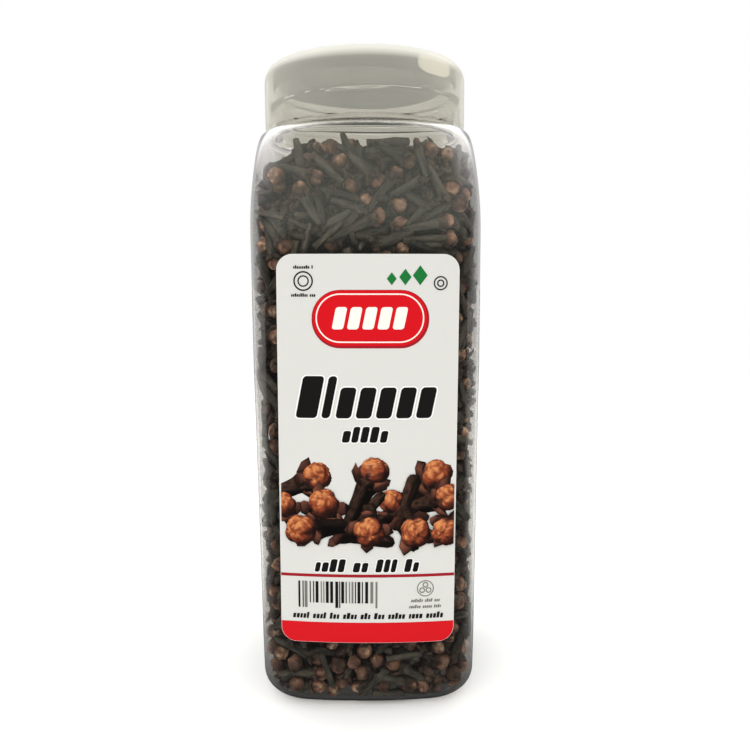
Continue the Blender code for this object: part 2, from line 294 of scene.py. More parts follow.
def face_outwards(thing):
    """Points a closed mesh's faces outwards."""
    mesh_data = bmesh.new()
    mesh_data.from_mesh(thing.data)
    bmesh.ops.recalc_face_normals(mesh_data, faces=mesh_data.faces)
    if mesh_data.calc_volume(signed=True) < 0:
        bmesh.ops.reverse_faces(mesh_data, faces=mesh_data.faces)
    mesh_data.to_mesh(thing.data)
    mesh_data.free()


def bake_modifiers(thing):
    """Turns what the modifiers make into the object's own plain mesh, and removes them."""
    graph = bpy.context.evaluated_depsgraph_get()
    mesh = bpy.data.meshes.new_from_object(thing.evaluated_get(graph))
    thing.modifiers.clear()
    old = thing.data
    thing.data = mesh
    mesh.name = thing.name
    bpy.data.meshes.remove(old)


def united(base, tool):
    """Union of a wall with the thread that stands on it."""
    union = base.modifiers.new("thread", "BOOLEAN")
    union.operation = "UNION"
    union.solver = "EXACT"
    union.object = tool
    bake_modifiers(base)
    bpy.data.objects.remove(tool, do_unlink=True)


def settle(thing, material=None, replaces=None):
    """Gives a finished piece its material, its body and its place in the table."""
    if material is not None:
        thing.data.materials.clear()
        thing.data.materials.append(material)
    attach(thing, BODY)
    if replaces:
        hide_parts(replaces)
    return thing


# ---------------------------------------------------------------- node tools

def linear(colour):
    """sRGB hex, such as "c8a070", as linear red, green, blue and full alpha."""
    parts = [int(colour[i:i + 2], 16) / 255 for i in (0, 2, 4)]
    return [c / 12.92 if c <= 0.04045 else ((c + 0.055) / 1.055) ** 2.4 for c in parts] + [1.0]


def add_node(tree, kind, inputs=None, **settings):
    """Adds a node, with its settings, and sets or links its inputs."""
    node = tree.nodes.new(kind)
    for name, value in settings.items():
        setattr(node, name, value)
    for key, value in (inputs or {}).items():
        if isinstance(value, bpy.types.NodeSocket):
            tree.links.new(value, node.inputs[key])
        else:
            node.inputs[key].default_value = value
    return node


def new_material(name):
    """An empty node material, with its tree and its output's surface socket."""
    material = bpy.data.materials.new(name)
    material.use_nodes = True
    tree = material.node_tree
    tree.nodes.clear()
    return material, tree, add_node(tree, "ShaderNodeOutputMaterial").inputs["Surface"]


def object_noise(tree, size, detail=3.0, rough=0.5):
    """Noise whose blobs are about `size` metres across, in the piece's own coordinates."""
    place = add_node(tree, "ShaderNodeTexCoord").outputs["Object"]
    return add_node(tree, "ShaderNodeTexNoise",
                    {"Vector": place, "Scale": 1 / size, "Detail": detail, "Roughness": rough}).outputs["Fac"]


def lit_through(tree, shader, colour):
    """A wall as `shader` shows it, which lamps and the light that the cloves pass on reach through."""
    path = add_node(tree, "ShaderNodeLightPath")
    soft = add_node(tree, "ShaderNodeMath",
                    {0: path.outputs["Is Shadow Ray"], 1: path.outputs["Is Diffuse Ray"]},
                    operation="MAXIMUM")
    through = add_node(tree, "ShaderNodeBsdfTransparent", {"Color": colour})
    return add_node(tree, "ShaderNodeMixShader",
                    {0: soft.outputs[0], 1: shader, 2: through.outputs[0]}).outputs[0]


# ---------------------------------------------------------------- materials

def clear_polyester(tint):
    """Blow-moulded PET: hard, bright and clear, with a faint ripple left by the blowing."""
    material, tree, surface = new_material("blown_clear_polyester")
    ripple = object_noise(tree, 22 * MM, detail=2.0)
    bump = add_node(tree, "ShaderNodeBump", {"Strength": 0.06, "Distance": 0.3 * MM, "Height": ripple})
    shell = add_node(tree, "ShaderNodeBsdfPrincipled",
                     {"Base Color": (*tint, 1.0), "Transmission Weight": 1.0, "Roughness": 0.02,
                      "IOR": 1.575, "Normal": bump.outputs["Normal"]})
    tree.links.new(lit_through(tree, shell.outputs[0], (*[c ** 0.5 for c in tint], 1.0)), surface)
    return material


def natural_polypropylene():
    """Undyed moulded polypropylene: a milky veil that what lies behind still shows through."""
    material, tree, surface = new_material("natural_polypropylene")
    grain = object_noise(tree, 0.8 * MM, detail=2.0)
    cloud = object_noise(tree, 11 * MM, detail=2.0)
    colour = add_node(tree, "ShaderNodeMix", {"Factor": cloud, 6: linear("f3f1e6"), 7: linear("fbf9ef")},
                      data_type="RGBA")
    rough = add_node(tree, "ShaderNodeMapRange", {"Value": cloud, "To Min": 0.26, "To Max": 0.38})
    bump = add_node(tree, "ShaderNodeBump", {"Strength": 0.1, "Distance": 0.02 * MM, "Height": grain})
    skin = add_node(tree, "ShaderNodeBsdfPrincipled",
                    {"Base Color": colour.outputs[2], "Roughness": rough.outputs["Result"], "IOR": 1.49,
                     "Normal": bump.outputs["Normal"]})
    glow = add_node(tree, "ShaderNodeBsdfTranslucent", {"Color": colour.outputs[2]})
    milk = add_node(tree, "ShaderNodeMixShader", {0: 0.4, 1: skin.outputs[0], 2: glow.outputs[0]})
    clear = add_node(tree, "ShaderNodeBsdfTransparent", {"Color": linear("fbfbf8")})
    # A wall seen edge on has more milk in the line of sight, and so has the thick rounded top
    slope = add_node(tree, "ShaderNodeLayerWeight", {"Blend": 0.35}).outputs["Facing"]
    height = add_node(tree, "ShaderNodeSeparateXYZ",
                      {0: add_node(tree, "ShaderNodeTexCoord").outputs["Object"]})
    crown = add_node(tree, "ShaderNodeMapRange",
                     {"Value": height.outputs[2], "From Min": CAP_HIGH.z - 4.6 * MM,
                      "From Max": CAP_HIGH.z - 1.5 * MM, "To Min": 0.0, "To Max": 0.7})
    edge = add_node(tree, "ShaderNodeMapRange", {"Value": slope, "To Min": 0.32, "To Max": 0.72})
    inside = add_node(tree, "ShaderNodeNewGeometry").outputs["Backfacing"]
    share = add_node(tree, "ShaderNodeMapRange", {"Value": inside, "To Min": 1.0, "To Max": 0.35})
    skirt = add_node(tree, "ShaderNodeMath", {0: edge.outputs["Result"], 1: share.outputs["Result"]},
                     operation="MULTIPLY")
    veil = add_node(tree, "ShaderNodeMath", {0: skirt.outputs[0], 1: crown.outputs["Result"]},
                    operation="ADD", use_clamp=True)
    wall = add_node(tree, "ShaderNodeMixShader",
                    {0: veil.outputs[0], 1: clear.outputs[0], 2: milk.outputs[0]})
    tree.links.new(lit_through(tree, wall.outputs[0], linear("ecebe4")), surface)
    return material


def rolled_foil():
    """Thin rolled aluminium foil: dull silver, with fine wrinkles where it was folded."""
    material, tree, surface = new_material("rolled_aluminium_foil")
    crease = object_noise(tree, 2.5 * MM, detail=4.0)
    rough = add_node(tree, "ShaderNodeMapRange", {"Value": crease, "To Min": 0.3, "To Max": 0.5})
    bump = add_node(tree, "ShaderNodeBump", {"Strength": 0.5, "Distance": 0.15 * MM, "Height": crease})
    shader = add_node(tree, "ShaderNodeBsdfPrincipled",
                      {"Base Color": linear("5e5f5f"), "Metallic": 0.75, "Roughness": rough.outputs["Result"],
                       "Normal": bump.outputs["Normal"]})
    tree.links.new(shader.outputs[0], surface)
    return material


def printed_film(name, colour, roughness=0.38, speckle=0.05):
    """Ink on white polypropylene film: even and satin, with the faint mottle of a press."""
    material, tree, surface = new_material(name)
    mottle = object_noise(tree, 0.5 * MM, detail=2.0)
    low = [c * (1 - speckle) for c in linear(colour)[:3]] + [1.0]
    ink = add_node(tree, "ShaderNodeMix", {"Factor": mottle, 6: low, 7: linear(colour)}, data_type="RGBA")
    bump = add_node(tree, "ShaderNodeBump", {"Strength": 0.08, "Distance": 0.02 * MM, "Height": mottle})
    shader = add_node(tree, "ShaderNodeBsdfPrincipled",
                      {"Base Color": ink.outputs[2], "Roughness": roughness, "Specular IOR Level": 0.2,
                       "Normal": bump.outputs["Normal"]})
    tree.links.new(shader.outputs[0], surface)
    return material


def printed_picture():
    """Process inks on film: the picture's colours are the piece's own, under a fine dot mottle."""
    material, tree, surface = new_material("process_ink_on_film")
    colour = add_node(tree, "ShaderNodeAttribute", attribute_name="ink").outputs["Color"]
    mottle = object_noise(tree, 0.45 * MM, detail=2.0)
    level = add_node(tree, "ShaderNodeMapRange", {"Value": mottle, "To Min": 0.75, "To Max": 1.2})
    ink = add_node(tree, "ShaderNodeVectorMath", {0: colour, "Scale": level.outputs["Result"]},
                   operation="SCALE")
    shader = add_node(tree, "ShaderNodeBsdfPrincipled",
                      {"Base Color": ink.outputs[0], "Roughness": 0.38, "Specular IOR Level": 0.3})
    tree.links.new(shader.outputs[0], surface)
    return material


def dried_clove():
    """Sun-dried flower buds: dark wrinkled stalks, paler and redder globes, dry and nearly matt.
    `part` runs from the stalk (0) to the globe (1), and on the globe it also holds a painted highlight
    on the crown and painted shade in the creases; `tint` differs from clove to clove, and `skin` holds each
    clove's own coordinates in millimetres, so that the wrinkles run along its length."""
    material, tree, surface = new_material("dried_clove_skin")
    part = add_node(tree, "ShaderNodeAttribute", attribute_name="part").outputs["Fac"]
    tint = add_node(tree, "ShaderNodeAttribute", attribute_name="tint").outputs["Fac"]
    skin = add_node(tree, "ShaderNodeAttribute", attribute_name="skin").outputs["Vector"]
    shift = add_node(tree, "ShaderNodeCombineXYZ", {0: tint, 1: tint, 2: tint})
    apart = add_node(tree, "ShaderNodeVectorMath", {0: shift.outputs[0], "Scale": 90.0}, operation="SCALE")
    along = add_node(tree, "ShaderNodeMapping", {"Vector": skin, "Location": apart.outputs[0],
                                                 "Scale": (1.0, 1.0, 0.3)})
    wrinkle = add_node(tree, "ShaderNodeTexNoise", {"Vector": along.outputs[0], "Scale": 1.1, "Detail": 4.0,
                                                    "Roughness": 0.6}).outputs["Fac"]
    blotch = add_node(tree, "ShaderNodeTexNoise",
                      {"Vector": along.outputs[0], "Scale": 0.45, "Detail": 2.0}).outputs["Fac"]
    # On the globe the stops turn its own paler tone, painted shade in the creases and a painted highlight on
    # the crown into colour
    stops = ((0.0, "403d34"), (0.12, "4a4335"), (0.2, "43342a"), (0.5, "4a3427"), (0.75, "745340"),
             (1.0, "b3977a"))
    ramp = add_node(tree, "ShaderNodeValToRGB", {"Fac": part})
    while len(ramp.color_ramp.elements) < len(stops):
        ramp.color_ramp.elements.new(0.5)
    for element, (place, tone) in zip(ramp.color_ramp.elements, stops):
        element.position, element.color = place, linear(tone)
    level = add_node(tree, "ShaderNodeMapRange", {"Value": tint, "To Min": 0.5, "To Max": 1.45})
    colour = add_node(tree, "ShaderNodeVectorMath",
                      {0: ramp.outputs["Color"], "Scale": level.outputs["Result"]}, operation="SCALE")
    # The wrinkle noise paints shade into the wrinkles' hollows and a highlight onto their ridges; the
    # blotches are the skin's own uneven tone
    spread = add_node(tree, "ShaderNodeMath", {0: wrinkle, 1: blotch}, operation="ADD")
    shade = add_node(tree, "ShaderNodeMapRange", {"Value": spread.outputs[0], "From Min": 0.75,
                                                  "From Max": 1.3, "To Min": 0.28, "To Max": 1.6})
    final = add_node(tree, "ShaderNodeVectorMath", {0: colour.outputs[0], "Scale": shade.outputs["Result"]},
                     operation="SCALE")
    bump = add_node(tree, "ShaderNodeBump", {"Strength": 0.9, "Distance": 0.4 * MM, "Height": wrinkle})
    shader = add_node(tree, "ShaderNodeBsdfPrincipled",
                      {"Base Color": final.outputs[0], "Roughness": 0.62, "IOR": 1.45,
                       "Normal": bump.outputs["Normal"]})
    tree.links.new(shader.outputs[0], surface)
    return material


def painted_shade_core():
    """The cloves and dust deep in the heap, nearly black brown: painted shade for the little light that comes
    there.
    """
    material, tree, surface = new_material("cloves_deep_in_the_heap")
    lump = object_noise(tree, 3.5 * MM, detail=3.0)
    colour = add_node(tree, "ShaderNodeMix", {"Factor": lump, 6: linear("100c0a"), 7: linear("33261d")},
                      data_type="RGBA")
    bump = add_node(tree, "ShaderNodeBump", {"Strength": 1.0, "Distance": 1.0 * MM, "Height": lump})
    shader = add_node(tree, "ShaderNodeBsdfPrincipled",
                      {"Base Color": colour.outputs[2], "Roughness": 0.85, "Normal": bump.outputs["Normal"]})
    tree.links.new(shader.outputs[0], surface)
    return material


def pale_floor():
    """Matt white paper sweep that fades into the white of the surroundings away from the jar."""
    material, tree, surface = new_material("white_paper_sweep")
    place = add_node(tree, "ShaderNodeTexCoord").outputs["Object"]
    away = add_node(tree, "ShaderNodeVectorMath", {0: place}, operation="LENGTH")
    fade = add_node(tree, "ShaderNodeMapRange",
                    {"Value": away.outputs["Value"], "From Min": 0.25, "From Max": 1.0},
                    interpolation_type="SMOOTHSTEP")
    paper = add_node(tree, "ShaderNodeBsdfDiffuse", {"Color": linear("f7f7f5")})
    white = add_node(tree, "ShaderNodeEmission", {"Color": (1, 1, 1, 1), "Strength": 1.0})
    mix = add_node(tree, "ShaderNodeMixShader",
                   {0: fade.outputs["Result"], 1: paper.outputs[0], 2: white.outputs[0]})
    # The floor is dark to the shine on the jar, and in front of it to light bent inside the wall too,
    # so that its whiteness doesn't veil the cloves
    card = add_node(tree, "ShaderNodeEmission", {"Color": (1, 1, 1, 1), "Strength": 0.05})
    path = add_node(tree, "ShaderNodeLightPath")
    side = add_node(tree, "ShaderNodeSeparateXYZ", {0: place})
    front = add_node(tree, "ShaderNodeMapRange",
                     {"Value": side.outputs[1], "From Min": 0.05, "From Max": -0.03})
    plain = add_node(tree, "ShaderNodeMath",
                     {0: path.outputs["Is Camera Ray"], 1: path.outputs["Is Diffuse Ray"]},
                     operation="MAXIMUM")
    shine = add_node(tree, "ShaderNodeMath",
                     {0: path.outputs["Is Glossy Ray"], 1: path.outputs["Is Transmission Ray"]},
                     operation="SUBTRACT")
    either = add_node(tree, "ShaderNodeMath", {0: front.outputs["Result"], 1: shine.outputs[0]},
                      operation="MAXIMUM")
    mirror = add_node(tree, "ShaderNodeMath", {0: either.outputs[0], 1: plain.outputs[0]},
                      operation="SUBTRACT", use_clamp=True)
    final = add_node(tree, "ShaderNodeMixShader",
                     {0: mirror.outputs[0], 1: mix.outputs[0], 2: card.outputs[0]})
    tree.links.new(final.outputs[0], surface)
    return material


# ---------------------------------------------------------------- geometry node trees

def new_tree(name, sockets):
    """A geometry node tree with named inputs. Each is (name, socket kind, default)."""
    tree = bpy.data.node_groups.new(name, "GeometryNodeTree")
    tree.interface.new_socket("Geometry", in_out="OUTPUT", socket_type="NodeSocketGeometry")
    tree.interface.new_socket("Geometry", in_out="INPUT", socket_type="NodeSocketGeometry")
    for title, kind, default in sockets:
        socket = tree.interface.new_socket(title, in_out="INPUT", socket_type=kind)
        if default is not None:
            socket.default_value = default
    return tree, add_node(tree, "NodeGroupInput"), add_node(tree, "NodeGroupOutput")


def run_tree(thing, tree, values):
    """Puts the tree on the object with these inputs and keeps its result as a plain mesh."""
    live = thing.modifiers.new(tree.name, "NODES")
    names = {item.name: item.identifier for item in tree.interface.items_tree if item.in_out == "INPUT"}
    live.node_group = tree
    for title, value in values.items():
        live[names[title]] = value
    bake_modifiers(thing)
    return thing


def thread_tree():
    """A ridge wound along a helix: a four-sided rod bent round the axis, run out at both ends."""
    tree, given, result = new_tree("screw_thread", [
        ("Root Radius", "NodeSocketFloat", 0.029), ("Crest Radius", "NodeSocketFloat", 0.031),
        ("Pitch", "NodeSocketFloat", 0.0042), ("Turns", "NodeSocketFloat", 1.6),
        ("Top", "NodeSocketFloat", 0.196), ("Start Angle", "NodeSocketFloat", 0.0),
        ("Base Width", "NodeSocketFloat", 0.0019), ("Crest Width", "NodeSocketFloat", 0.0007),
        ("Segments", "NodeSocketInt", 300), ("Run Out", "NodeSocketFloat", 0.08),
        ("Material", "NodeSocketMaterial", None)])
    size = given.outputs
    rod = add_node(tree, "GeometryNodeMeshCylinder",
                   {"Vertices": 4, "Side Segments": size["Segments"], "Radius": 1.0, "Depth": 1.0},
                   fill_type="NGON").outputs["Mesh"]
    place = add_node(tree, "ShaderNodeSeparateXYZ",
                     {0: add_node(tree, "GeometryNodeInputPosition").outputs[0]}).outputs
    # Each line is a sum on values above it. The rod's corners lie on its X and Y axes, so `out` and `up`
    # tell crest from root and top from bottom; `share` and `ends` run along the rod
    sums = {"x": place[0], "y": place[1], "z": place[2]}
    sums |= {title: size[title] for title in size.keys() if title}
    for name, operation, *values in (
            ("across", "SUBTRACT", "x", "y"), ("out", "GREATER_THAN", "across", 0.0),
            ("over", "ADD", "x", "y"), ("up", "SIGN", "over"),
            ("share", "ADD", "z", 0.5), ("left", "SUBTRACT", 1.0, "share"),
            ("ends", "MINIMUM", "share", "left"), ("grown", "DIVIDE", "ends", "Run Out"),
            ("height", "MINIMUM", 1.0, "grown"), ("shown", "MULTIPLY", "height", "out"),
            ("depth", "SUBTRACT", "Crest Radius", "Root Radius"), ("rise", "MULTIPLY", "depth", "shown"),
            ("radius", "ADD", "Root Radius", "rise"),
            ("narrowing", "SUBTRACT", "Crest Width", "Base Width"),
            ("width", "MULTIPLY_ADD", "out", "narrowing", "Base Width"), ("side", "MULTIPLY", "up", "width"),
            ("turn", "MULTIPLY", "share", "Turns"), ("swept", "MULTIPLY", "turn", 2 * math.pi),
            ("angle", "SUBTRACT", "Start Angle", "swept"), ("fall", "MULTIPLY", "turn", "Pitch"),
            ("flank", "MULTIPLY_ADD", "side", 0.5, "Top"), ("level", "SUBTRACT", "flank", "fall"),
            ("cosine", "COSINE", "angle"), ("sine", "SINE", "angle"),
            ("east", "MULTIPLY", "radius", "cosine"), ("north", "MULTIPLY", "radius", "sine")):
        inputs = {i: sums.get(value, value) for i, value in enumerate(values)}
        sums[name] = add_node(tree, "ShaderNodeMath", inputs, operation=operation).outputs[0]
    spot = add_node(tree, "ShaderNodeCombineXYZ", {0: sums["east"], 1: sums["north"], 2: sums["level"]})
    wound = add_node(tree, "GeometryNodeSetPosition", {"Geometry": rod, "Position": spot.outputs[0]})
    real = add_node(tree, "GeometryNodeRealizeInstances", {0: wound.outputs[0]})
    coated = add_node(tree, "GeometryNodeSetMaterial",
                      {"Geometry": real.outputs[0], "Material": size["Material"]})
    tree.links.new(coated.outputs[0], result.inputs[0])
    return tree


def scatter_tree():
    """Puts one of three clove shapes on each point, turned and sized as the point says."""
    tree, given, result = new_tree("scattered_cloves", [
        ("Shape A", "NodeSocketObject", None), ("Shape B", "NodeSocketObject", None),
        ("Shape C", "NodeSocketObject", None), ("Scale", "NodeSocketFloat", 1.0),
        ("Seed", "NodeSocketInt", 0), ("Material", "NodeSocketMaterial", None)])
    shapes = []
    for title in ("Shape A", "Shape B", "Shape C"):
        shape = add_node(tree, "GeometryNodeObjectInfo", {"Object": given.outputs[title]}).outputs["Geometry"]
        shapes.append(add_node(tree, "GeometryNodeGeometryToInstance", {0: shape}).outputs[0])
    choice = add_node(tree, "GeometryNodeJoinGeometry")
    for shape in shapes:
        tree.links.new(shape, choice.inputs[0])
    pick = add_node(tree, "FunctionNodeRandomValue", {"Min": 0, "Max": 2, "Seed": given.outputs["Seed"]},
                    data_type="INT")
    turn = add_node(tree, "GeometryNodeInputNamedAttribute", {"Name": "turn"}, data_type="FLOAT_VECTOR")
    size = add_node(tree, "GeometryNodeInputNamedAttribute", {"Name": "size"}, data_type="FLOAT")
    scale = add_node(tree, "ShaderNodeMath", {0: size.outputs[0], 1: given.outputs["Scale"]},
                     operation="MULTIPLY")
    points = add_node(tree, "GeometryNodeMeshToPoints", {"Mesh": given.outputs["Geometry"]})
    placed = add_node(tree, "GeometryNodeInstanceOnPoints",
                      {"Points": points.outputs[0], "Instance": choice.outputs[0], "Pick Instance": True,
                       "Instance Index": pick.outputs[2], "Rotation": turn.outputs[0],
                       "Scale": scale.outputs[0]})
    real = add_node(tree, "GeometryNodeRealizeInstances", {0: placed.outputs[0]})
    coated = add_node(tree, "GeometryNodeSetMaterial",
                      {"Geometry": real.outputs[0], "Material": given.outputs["Material"]})
    tree.links.new(coated.outputs[0], result.inputs[0])
    return tree


# ---------------------------------------------------------------- jar, cap and seal

def quarter(count):
    """Angles from 0 to 90 degrees in equal steps."""
    return [math.pi / 2 * i / count for i in range(count + 1)]


def rounding(radius, height, across, up, count, square=0):
    """Rings of a quarter round. The first lies at `height`, `across` further out than `radius`, and the
    last at `radius`, `up` higher."""
    return [(radius + across * (1 - math.sin(a)), square, height + up * (1 - math.cos(a)))
            for a in quarter(count)]


def jar_rings(shape):
    """The jar's wall as rings of half-width, squareness and height, round the outside and back inside."""
    s, top, lip = shape.s, JAR_HIGH.z, LIP_ROUND
    # The hollow under the base drops to a small step before it meets the foot ring
    step, slope, fillet = 1.1 * MM, 2.0 * MM, 1.9 * MM
    base = float(shape.body_half_width(0.0))
    inner_top, inner_rim, inner_heel = s.shoulder_top - s.wall, s.shoulder_rim - s.wall, s.heel - s.wall
    inner, turn = s.recess_radius - slope, inner_rim - s.bore_radius
    inside = s.neck_radius - lip - s.bore_radius

    def shoulder_rings(angles, top, rim, inset):
        heights = [s.shoulder_low + (top - s.shoulder_low) * math.sin(a) for a in angles]
        return [(*map(float, shape.shoulder(z, top, rim, inset)), z) for z in heights]

    hollow = [(0, 0, s.recess_height)]
    hollow += [(inner * share, 0, s.recess_height - (s.recess_height - step) * share ** 2)
               for share in (0.3, 0.6, 0.85)]
    hollow += [(s.recess_radius - slope * back, 0, step * rise)
               for back, rise in ((1.0, 1.0), (0.6, 0.75), (0.25, 0.2), (0.0, 0.0))]
    rings = list(hollow)
    rings += rounding(base, 0, -s.heel, s.heel, 12, 1)
    rings += [(float(shape.body_half_width(z)), 1, float(z)) for z in np.linspace(s.heel, s.taper_top, 9)[1:]]
    rings += shoulder_rings(quarter(20), s.shoulder_top, s.shoulder_rim, 0)
    rings += rounding(s.neck_radius, s.shoulder_top, fillet, fillet, 6)
    rings += rounding(s.neck_radius, top, -lip, -lip, 5)[::-1]
    rings += rounding(s.bore_radius, top, inside, -inside, 4)[1:]
    rings += rounding(s.bore_radius, inner_top, turn, turn, 6)[::-1]
    rings += shoulder_rings(quarter(20)[-2::-1], inner_top, inner_rim, s.wall)
    rings += [(float(shape.body_half_width(z)) - s.wall, 1, float(z))
              for z in np.linspace(s.taper_top, s.floor + inner_heel, 9)[:-1]]
    rings += rounding(base - s.wall, s.floor, -inner_heel, inner_heel, 12, 1)[::-1]
    rings += [(half, square, s.floor + z) for half, square, z in reversed(hollow)]
    return rings


def make_thread(name, root, crest, top, material):
    """The thread of the neck or of the cap, as its own closed mesh."""
    thread = bpy.context.scene.clove_jar_thread
    seed = new_object(name, [(0, 0, 0)], [], smooth=False)
    run_tree(seed, bpy.data.node_groups.get("screw_thread") or thread_tree(), {
        "Root Radius": root, "Crest Radius": crest, "Pitch": thread.pitch, "Turns": thread.turns, "Top": top,
        "Start Angle": THREAD_START, "Segments": round(AROUND * thread.turns), "Material": material})
    seed.data.shade_smooth()
    face_outwards(seed)
    return seed


class CLOVEJAR_OT_jar(Operator):
    """Blown jar with its threaded neck"""
    bl_idname = "clove_jar.jar"
    bl_label = "Jar"

    def execute(self, context):
        sizes, thread = context.scene.clove_jar, context.scene.clove_jar_thread
        shape = JarShape(sizes)
        material = clear_polyester(tuple(sizes.tint))
        loops = [ring_loop(shape, *ring, AROUND) for ring in jar_rings(shape)]
        jar = new_object("jar_shell", *loft(loops))
        jar.data.materials.append(material)
        face_outwards(jar)
        united(jar, make_thread("neck_thread", sizes.neck_radius - THREAD_SINK, thread.neck_crest,
                                thread.top, material))
        jar.data.set_sharp_from_angle(angle=math.radians(40))
        settle(jar, material, "jar")
        return {"FINISHED"}


class CLOVEJAR_OT_cap(Operator):
    """Moulded screw cap, open below, with the thread inside"""
    bl_idname = "clove_jar.cap"
    bl_label = "Screw Cap"

    def execute(self, context):
        cap, thread = context.scene.clove_jar_cap, context.scene.clove_jar_thread
        shape = JarShape(context.scene.clove_jar)
        radius, top, bottom = CAP_HIGH.x, CAP_HIGH.z, CAP_LOW.z
        edge = 0.3 * MM                                # round of the skirt's lower edge
        flat, wall = radius - cap.edge, radius - cap.wall
        inner = wall - cap.inner_round
        # A shallow dimple with the mark of the moulding gate lies in the middle of the top
        rings = [(0, 0, top - 0.25 * MM), (0.8 * MM, 0, top - 0.25 * MM), (1.1 * MM, 0, top - 0.6 * MM),
                 (3.2 * MM, 0, top - 0.6 * MM), (3.9 * MM, 0, top - 0.1 * MM), (4.4 * MM, 0, top),
                 (flat * 0.6, 0, top)]
        rings += rounding(radius, top, -cap.edge, -cap.edge, 16)
        rings.append((radius, 0, (top - cap.edge + bottom) / 2))
        rings += rounding(radius, bottom, -edge, edge, 4)[::-1]
        rings += rounding(wall, bottom, edge, edge, 4)
        rings += rounding(wall, cap.underside, -cap.inner_round, -cap.inner_round, 12)[::-1]
        rings += [(inner * 0.5, 0, cap.underside), (0, 0, cap.underside)]
        material = natural_polypropylene()
        shell = new_object("screw_cap", *loft([ring_loop(shape, *ring, AROUND) for ring in rings]))
        shell.data.materials.append(material)
        face_outwards(shell)
        united(shell, make_thread("cap_thread", wall + THREAD_SINK, thread.cap_crest,
                                  thread.top - thread.pitch / 2, material))
        shell.data.set_sharp_from_angle(angle=math.radians(40))
        settle(shell, material, "cap")
        return {"FINISHED"}


class CLOVEJAR_OT_seal(Operator):
    """Foil seal folded over the lip, with its pull tab"""
    bl_idname = "clove_jar.seal"
    bl_label = "Foil Seal"

    def execute(self, context):
        sizes = context.scene.clove_jar
        lip, gap, thick = LIP_ROUND, 0.3 * MM, 0.25 * MM
        centre, height, around = sizes.neck_radius - lip, JAR_HIGH.z - lip, 240
        bottom = SEAL_LOW.z

        def profile(radius, sign):
            rows = [(0.0, height + radius), (centre * 0.5, height + radius)]
            rows += [(centre + radius * math.sin(a), height + radius * math.cos(a)) for a in quarter(8)]
            rows += [(centre + radius, height - (height - bottom) * i / 4) for i in range(1, 5)]
            return rows if sign > 0 else rows[::-1]

        loops = []
        for radius, z in profile(lip + gap + thick, 1) + profile(lip + gap, -1):
            if radius == 0:
                loops.append([(0.0, 0.0, z)])
                continue
            # The folded edge is crimped and its rim runs unevenly
            drop = max(0.0, (height - z) / (height - bottom))
            loop = []
            for i in range(around):
                turn = 2 * math.pi * i / around
                crimp = 0.10 * MM * drop * math.sin(47 * turn) * (0.6 + 0.4 * math.sin(5 * turn))
                rim = 0.35 * MM * drop * math.sin(3 * turn + 0.8)
                loop.append(((radius + crimp) * math.cos(turn), (radius + crimp) * math.sin(turn), z + rim))
            loops.append(loop)
        foil = new_object("foil_seal", *loft(loops))
        face_outwards(foil)
        settle(foil, rolled_foil(), "seal")

        # Paper-backed pull tab, folded down over the foil's skirt at the front right
        tab_radius, tab_thick = centre + lip + gap + thick + 0.22 * MM, 0.18 * MM
        start, end = math.radians(-58), math.radians(-29)
        low, high, columns = bottom - 0.4 * MM, height + 0.2 * MM, 16
        front, back = [], []
        for i in range(columns + 1):
            share = i / columns
            turn = start + (end - start) * share
            # The tab's free edge is rounded
            foot = low + 1.8 * MM * (2 * abs(share - 0.5)) ** 4
            for rows, radius in ((front, tab_radius + tab_thick), (back, tab_radius)):
                rows.append([(radius * math.cos(turn), radius * math.sin(turn), z) for z in (foot, high)])
        verts, faces = loft([[b[0], b[1], f[1], f[0]] for f, b in zip(front, back)])
        last = len(verts) - 4
        faces += [(0, 1, 2, 3), (last, last + 1, last + 2, last + 3)]
        tab = new_object("seal_pull_tab", verts, faces, smooth=False)
        face_outwards(tab)
        settle(tab, printed_film("paper_backed_tab", "ece6df", roughness=0.6))
        return {"FINISHED"}


# ---------------------------------------------------------------- cloves

